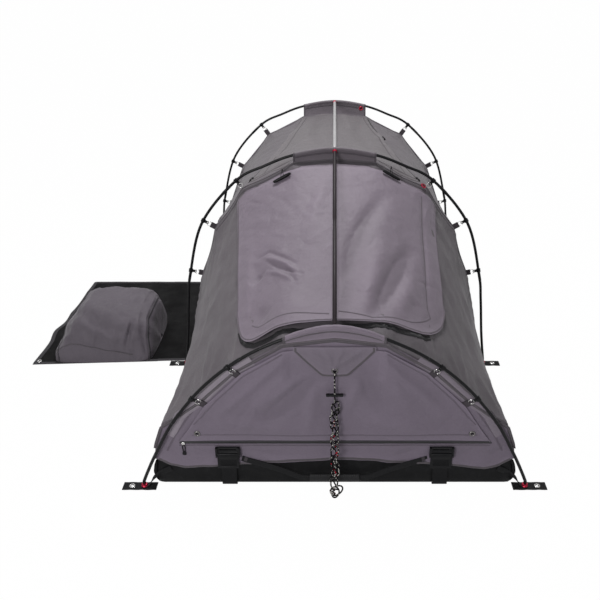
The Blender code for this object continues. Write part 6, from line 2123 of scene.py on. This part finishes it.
@dataclass
class CarryGear:
    """The carry straps, their buckles and the carry handle at the foot end."""

    strap_x: float = 0.4135
    strap_width: float = 0.058
    handle_half: float = 0.3615
    face: float = -1.0796
    buckle_y: float = -1.0874

    def strap(self, side: Side) -> None:
        """A carry strap from its buckle down the wall and under the tub."""
        x = side.value * self.strap_x
        knots = np.array([(-1.07935, 0.180), (-1.07935, 0.150), (-1.07935, 0.118), (-1.07935, 0.085), (-1.0810, 0.055),
                          (-1.0910, 0.028), (-1.0920, 0.012), (-1.0840, 0.0038), (-1.0730, 0.0026)])
        route = [Vector((x, y, z)) for y, z in soften(resampled(knots, 60), 8)]
        piece = Bench.paint(Bench.strip(f"carry_strap_{side.word}", route, [Vector((1, 0, 0))] * len(route),
                                        self.strap_width, 0.0024, 10), STRAP_WEB)
        rows = []
        for height in (0.128, 0.134):
            ends = [Vector((x + off, -1.0807, height)) for off in (-0.021, 0.021)]
            rows.append(Bench.paint(Bench.strip("row", ends, [Vector((0, 0, 1))] * 2, 0.0012, 0.0006, 1), TAB_WEB))
        Bench.place(Bench.join(f"carry_strap_{side.word}", [piece, *rows]), "swag", Slot.WEBBING, f"strap_{side.word}")

    def buckle(self, side: Side) -> None:
        """A wide cam buckle: its frame with a bar and cheeks, and its ribbed lever with a barrel."""
        y, turn = self.buckle_y, (0.0, math.pi / 2, 0.0)
        outer = Bench.cut(Bench.box("frame", (0.094, 0.0130, 0.044), (0.0, y, 0.162)),
                          Bench.box("window", (0.0845, 0.03, 0.0245), (0.0, y, 0.1475)),
                          Bench.box("slot", (0.066, 0.03, 0.0052), (0.0, y, 0.1722)),
                          Bench.rod("scoop", 0.030, 0.078, (0.0, -1.1150, 0.1735), 40, turn))
        parts = [Bench.bevel(outer, 0.0016, 3, 35.0)]
        for sign in (-1, 1):
            parts += [Bench.rod("pin", 0.0026, 0.0008, (sign * 0.0472, y, 0.1525), 20, turn),
                      Bench.box("lug", (0.0045, 0.0030, 0.030), (sign * 0.0447, -1.0925, 0.158), 0.0010)]
        self.moulded("frame", parts, side, "swag")
        parts = [Bench.bevel(Bench.box("lever", (0.0835, 0.0052, 0.064), (0.0, -1.0878, 0.1195)), 0.0018, 3),
                 Bench.box("lip", (0.0835, 0.0080, 0.0075), (0.0, y, 0.0908), 0.0022, 3)]
        parts += [Bench.box("rib", (0.064, 0.0022, 0.0022), (0.0, -1.0908, 0.099 + index * 0.0056), 0.0007)
                  for index in range(5)]
        parts += [Bench.box("panel", (0.068, 0.0016, 0.014), (0.0, -1.0908, 0.1405), 0.0006),
                  Bench.rod("barrel", 0.0044, 0.0835, (0.0, y, 0.1525), 28, turn, 0.0005)]
        self.moulded("lever", parts, side, f"buckle_lever_{side.word}")

    def moulded(self, word: str, parts: Sequence[Piece], side: Side, body: str) -> None:
        """Joins the parts of a buckle's frame or lever and puts it over its strap."""
        piece = Bench.join(f"buckle_{side.word}_{word}", [Bench.paint(part, BLACK_PLASTIC) for part in parts])
        piece.data.transform(Matrix.Translation((side.value * self.strap_x, 0.0, 0.0)))
        Bench.place(piece, body, Slot.PLASTIC, f"buckle_{word}_{side.word}")

    def handle(self) -> None:
        """The carry handle: a webbing strap hung between the straps, with a ribbed grip."""
        half = [(0.10, 0.024, 0.051), (0.13, 0.023, 0.051), (0.21, 0.0144, 0.083),
                (self.handle_half - 0.05, 0.004, 0.112), (self.handle_half, 0.0, 0.1262)]
        right = [(x, self.face - off, z) for x, off, z in half]
        knots = np.array([(-x, y, z) for x, y, z in reversed(right)] + right)
        line = soften(resampled(knots, 150), 14)
        across = [Vector((-run[2], 0.0, run[0])) for run in np.gradient(line, axis=0)]
        route = [Vector(p) for p in line]
        web = Bench.paint(Bench.strip("handle_webbing", route, across, 0.025, 0.0028, 8), STRAP_WEB)
        patches = []
        for sign in (-1, 1):
            row = [Vector((sign * (self.handle_half - 0.030 + off), self.face - 0.0027, z))
                   for off, z in ((0.0, 0.1195), (0.02, 0.127))]
            patches.append(Bench.paint(Bench.strip("box", row, [Vector((-0.35 * sign, 0, 1))] * 2, 0.020, 0.0008, 2),
                                       TAB_WEB))
        web = Bench.join("handle_webbing", [web, *patches])
        Bench.place(web, "carry_handle", Slot.WEBBING, "handle_strap")
        self.grip()

    def grip(self) -> None:
        """The moulded grip: a flattened tube with close ribs and rounded collars."""
        stations = np.linspace(-0.0968, 0.0968, 300)
        end = np.clip((0.0968 - np.abs(stations)) / 0.006, 0.0, 1.0)
        ribs = 0.5 + 0.5 * np.cos(2 * math.pi * stations / 0.0072)
        ribs = np.where(np.abs(stations) < 0.084, ribs, 1.0)
        radii = 0.0180 * (0.80 + 0.20 * np.sqrt(1 - (1 - end) ** 2)) * (0.93 + 0.07 * ribs ** 0.7)
        route = np.stack((stations, np.zeros(300), np.zeros(300)), axis=1)
        piece = Bench.tube("handle_grip_moulding", route, radii, 36)
        for vertex in piece.data.vertices:
            vertex.co.y = vertex.co.y * 0.5 - 1.1036
            vertex.co.z += 0.051
        Bench.place(Bench.paint(piece, GRIP_RUBBER), "carry_handle", Slot.PLASTIC, "handle_grip")

    def build(self) -> None:
        """Both straps, both buckles and the handle."""
        for side in Side:
            self.strap(side)
            self.buckle(side)
        self.handle()


@dataclass
class FootZip:
    """The zip below the foot cover, with its slider and pull."""

    height: float = 0.199
    slider_x: float = -0.583

    def build(self) -> None:
        """The tape, the slider and the pull."""
        route = [Vector((x, -1.0784, self.height + 0.001)) for x in np.linspace(0.605, -0.598, 90)]
        tape = Bench.strip("foot_zip_tape", route, [Vector((0, 0, 1))] * len(route), 0.0065, 0.0008, 6)
        Bench.place(Bench.paint(tape, ZIP_COIL), "swag", Slot.METAL)
        x, y, z = self.slider_x, -1.0812, self.height
        body = Bench.box("slider", (0.0118, 0.0036, 0.0118), (x, y, z), 0.0012, 3)
        bridge = Bench.ring("bridge", 0.0030, 0.0009, (x, y - 0.0018, z), (0.0, math.pi / 2, 0.0), 20)
        parts = [Bench.paint(body, BRIGHT_METAL), Bench.paint(bridge, BRIGHT_METAL)]
        Bench.place(Bench.join("foot_zip_slider", parts), "zip_slider", Slot.METAL, "zip_slider")
        angles = np.linspace(0.0, math.pi, 29)
        rise = np.maximum(np.sin(angles), 0.0)
        loop = np.stack((x + 0.0085 * np.cos(angles) * (0.35 + 0.65 * rise), np.full(29, y + 0.0006),
                         0.1560 + 0.0350 * rise ** 0.7), axis=1)
        cord = Bench.paint(Bench.tube("cord", loop, 0.0017, 8), PULL_CORD)
        heights = np.array((0.1430, 0.1440, 0.1480, 0.1540, 0.1580, 0.1595))
        radii = np.array((0.0040, 0.0066, 0.0082, 0.0076, 0.0058, 0.0034))
        end = Bench.tube("end", np.stack((np.full(6, x), np.full(6, -1.0801), heights), axis=1), radii, 18)
        for vertex in end.data.vertices:
            vertex.co.y = -1.0801 + (vertex.co.y + 1.0801) * 0.24
        parts = [cord, Bench.paint(end, BLACK_PLASTIC)]
        Bench.place(Bench.join("foot_zip_pull", parts), "zip_slider", Slot.PLASTIC, "zip_pull")


@dataclass
class SideMat:
    """The ground mat beside the door, and the soft bag that stands on it."""

    bag_left: float = -1.430
    bag_right: float = -0.930
    bag_y: float = 0.08
    bag_half: float = 0.245
    bag_top: float = 0.26

    def mat(self) -> None:
        """The mat, with its bound edge, soft ripples and an eyelet."""
        near_left, near_right, far_right, far_left = np.array([(-1.53, -0.178), (MAT_EDGE, -0.134), (MAT_EDGE, 0.805),
                                                               (-1.50, 0.805)])
        v, u = np.linspace(0, 1, 70)[:, None], np.linspace(0, 1, 64)[None, :]
        x, y = ((near_right[k] * (1 - v) + far_right[k] * v) * (1 - u) + (near_left[k] * (1 - v) + far_left[k] * v) * u
                for k in (0, 1))
        wave = 0.010 * np.sin(v * 11.0) * np.sin(math.pi * v)
        x = np.minimum(x + u ** 6 * (np.abs(wave) - 0.022 * np.exp(-((v - 0.36) / 0.07) ** 2)), MAT_EDGE)
        y = y + 0.006 * np.sin(u * 7.0) * v * (1 - v)
        ripple = np.abs(plane_noise(x / 0.16, y / 0.22, 101.0)) * 0.003
        ripple[(x > self.bag_left - 0.03) & (x < self.bag_right + 0.03)
               & (np.abs(y - self.bag_y) < self.bag_half + 0.03)] = 0.0
        z = 0.0030 + np.clip(ripple - 0.0008, 0.0, 0.003)
        surface = Surface(np.stack((x, y, z), axis=2)).facing_up(5, 5)
        piece = surface.mesh("ground_mat_cloth", MAT_CLOTH, 0.0024)
        Bench.place(piece, "swag", Slot.TUB, "ground_mat")
        TentBody.declare(piece, surface, held="laid")
        rim = [(0.011, 0.008), (0.989, 0.008), (0.992, 0.5), (0.989, 0.992), (0.011, 0.992), (0.008, 0.5),
               (0.011, 0.008)]
        binding = surface.tape("ground_mat_binding", rim, 0.022, BINDING, 0.0016, 700)
        Bench.place(binding, "swag", Slot.WEBBING)
        place = min((surface.at(share, 0.03) for share in (0.972, 0.028)), key=lambda spot: spot.x)
        place.z += 0.0006
        ring = Bench.ring("rim", 0.009, 0.0026, place, around=30)
        plug = Bench.rod("plug", 0.0075, 0.001, place, 20)
        sewn("ground_mat_eyelet", [Bench.paint(ring, BRIGHT_METAL), Bench.paint(plug, BLACK_PLASTIC)],
             slot=Slot.METAL)

    def bag_surface(self) -> Surface:
        """The bag's skin: rings round it, from its left end to its right end, both closed."""
        stops = ((0.0, 0.62, 0.10), (0.004, 0.84, 0.17), (0.018, 0.92, 0.26), (0.06, 0.97, 0.42), (0.13, 1.0, 0.66),
                 (0.22, 1.0, 0.88), (0.31, 1.0, 0.98), (0.5, 1.0, 1.0), (0.66, 0.99, 1.0), (0.78, 0.97, 0.98),
                 (0.88, 0.94, 0.93), (0.95, 0.88, 0.85), (0.985, 0.76, 0.72), (0.996, 0.50, 0.45), (1.0, 0.12, 0.10))
        share, depth, height = (np.array(v) for v in zip(*stops))
        stations = np.unique(np.concatenate((np.linspace(0, 1, 110), share)))
        angles = np.linspace(0.0, 2 * math.pi, 141)[None, :]
        cosine, sine = np.cos(angles), np.sin(angles)
        half = self.bag_half * np.interp(stations, share, depth)[:, None]
        top = self.bag_top * np.interp(stations, share, height)[:, None]
        arch = np.sign(cosine) * np.abs(cosine) ** 0.6
        y = half * np.where(sine > 0, arch, cosine * (1 - 0.03 * np.clip(-sine, 0, 1)))
        z = np.where(sine > 0, top * np.abs(sine) ** 0.7, 0.0)
        x = self.bag_left + (self.bag_right - self.bag_left) * stations[:, None]
        return Surface(np.stack(np.broadcast_arrays(x, self.bag_y + y, 0.0045 + z), axis=2))

    def bag(self) -> None:
        """The bag: slumped canvas with wrinkles, piping at both ends and a base panel."""
        surface = self.bag_surface().facing_up(50, 35)
        x, y, z = np.moveaxis(surface.points, 2, 0)
        up = np.clip((z - 0.012) / 0.03, 0.0, 1.0)
        lift = plane_noise(x / 0.13, (y + z) / 0.12, 111.0) * 0.014
        lift += plane_noise(x / 0.06, (y - z) / 0.07, 113.0) * 0.005
        lift += plane_noise(x / 0.022, (y + 2 * z) / 0.05, 117.0) * 0.0014
        side = y < self.bag_y
        folds = ((((-1.02, 0.21), (-1.05, 0.10)), 0.010, -0.014), (((-1.04, 0.21), (-1.07, 0.08)), 0.014, 0.008),
                 (((-1.30, 0.22), (-1.12, 0.14)), 0.016, 0.007), (((-1.38, 0.05), (-1.20, 0.06)), 0.014, 0.008),
                 (((-1.22, 0.03), (-1.00, 0.05)), 0.012, 0.007), (((-0.97, 0.18), (-0.96, 0.04)), 0.010, -0.009),
                 (((-1.40, 0.10), (-1.30, 0.18)), 0.014, 0.008), (((-1.15, 0.20), (-1.20, 0.10)), 0.018, -0.007))
        lift = lift + creased(x, z, folds) * side
        lift = lift + creased(x, y + z, scattered(8, 60, (-1.42, -0.15), (-0.94, 0.45), 0.09, 0.010, 0.0040, 1.2))
        lift = np.minimum(lift, 0.001 + np.clip(self.bag_top + 0.0045 - z, 0.0, 0.1)) * up
        low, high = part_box("boot_bag")
        surface = surface.lifted(lift - 0.003 * up)
        surface.points[..., 2] = np.clip(surface.points[..., 2], 0.0042, high.z)
        surface.points[..., 1] = np.clip(surface.points[..., 1], low.y, high.y)
        piece = surface.mesh("boot_bag_skin", BAG_CANVAS, 0.0018, 0.01)
        Bench.edited(piece, bpy.ops.mesh.remove_doubles, threshold=0.0002)
        Bench.place(piece, "swag", Slot.CANVAS, "boot_bag")
        base_line = [(0.590, 0.03), (0.570, 0.10), (0.545, 0.30), (0.525, 0.55), (0.512, 0.80)]
        tapes = [surface.tape("base", base_line, 0.006, SEAM, 0.0020, 160),
                 surface.tape("mouth", [(0.02, 0.955), (0.98, 0.955)], 0.008, BINDING, 0.0022, 240),
                 surface.tape("end", [(0.0, 0.075), (1.0, 0.075)], 0.007, BINDING, 0.0024, 240),
                 surface.tape("top", [(0.25, 0.10), (0.25, 0.92)], 0.020, SEAM, 0.0022, 160)]
        sewn("boot_bag_piping", tapes, slot=Slot.WEBBING)

    def build(self) -> None:
        """The mat and the bag."""
        self.mat()
        self.bag()


@dataclass
class Swag:
    """The whole swag, sub-assembly by sub-assembly."""

    studio: Studio = field(default_factory=Studio)
    poles: PoleFrame = field(default_factory=PoleFrame)
    body: TentBody = field(default_factory=TentBody)
    bedding: Bedding = field(default_factory=Bedding)
    gear: CarryGear = field(default_factory=CarryGear)
    zip: FootZip = field(default_factory=FootZip)
    rope: GuyLine = field(default_factory=GuyLine)
    mat: SideMat = field(default_factory=SideMat)

    def build(self) -> None:
        """Builds every sub-assembly."""
        for part in (self.studio, self.poles, self.body, self.bedding, self.gear, self.zip, self.rope, self.mat):
            part.build()
            log.info("%s is built", type(part).__name__)


def main() -> None:
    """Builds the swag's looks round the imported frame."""
    logging.basicConfig(level=logging.INFO, format="%(message)s")
    Swag().build()


if __name__ == "__main__":
    main()
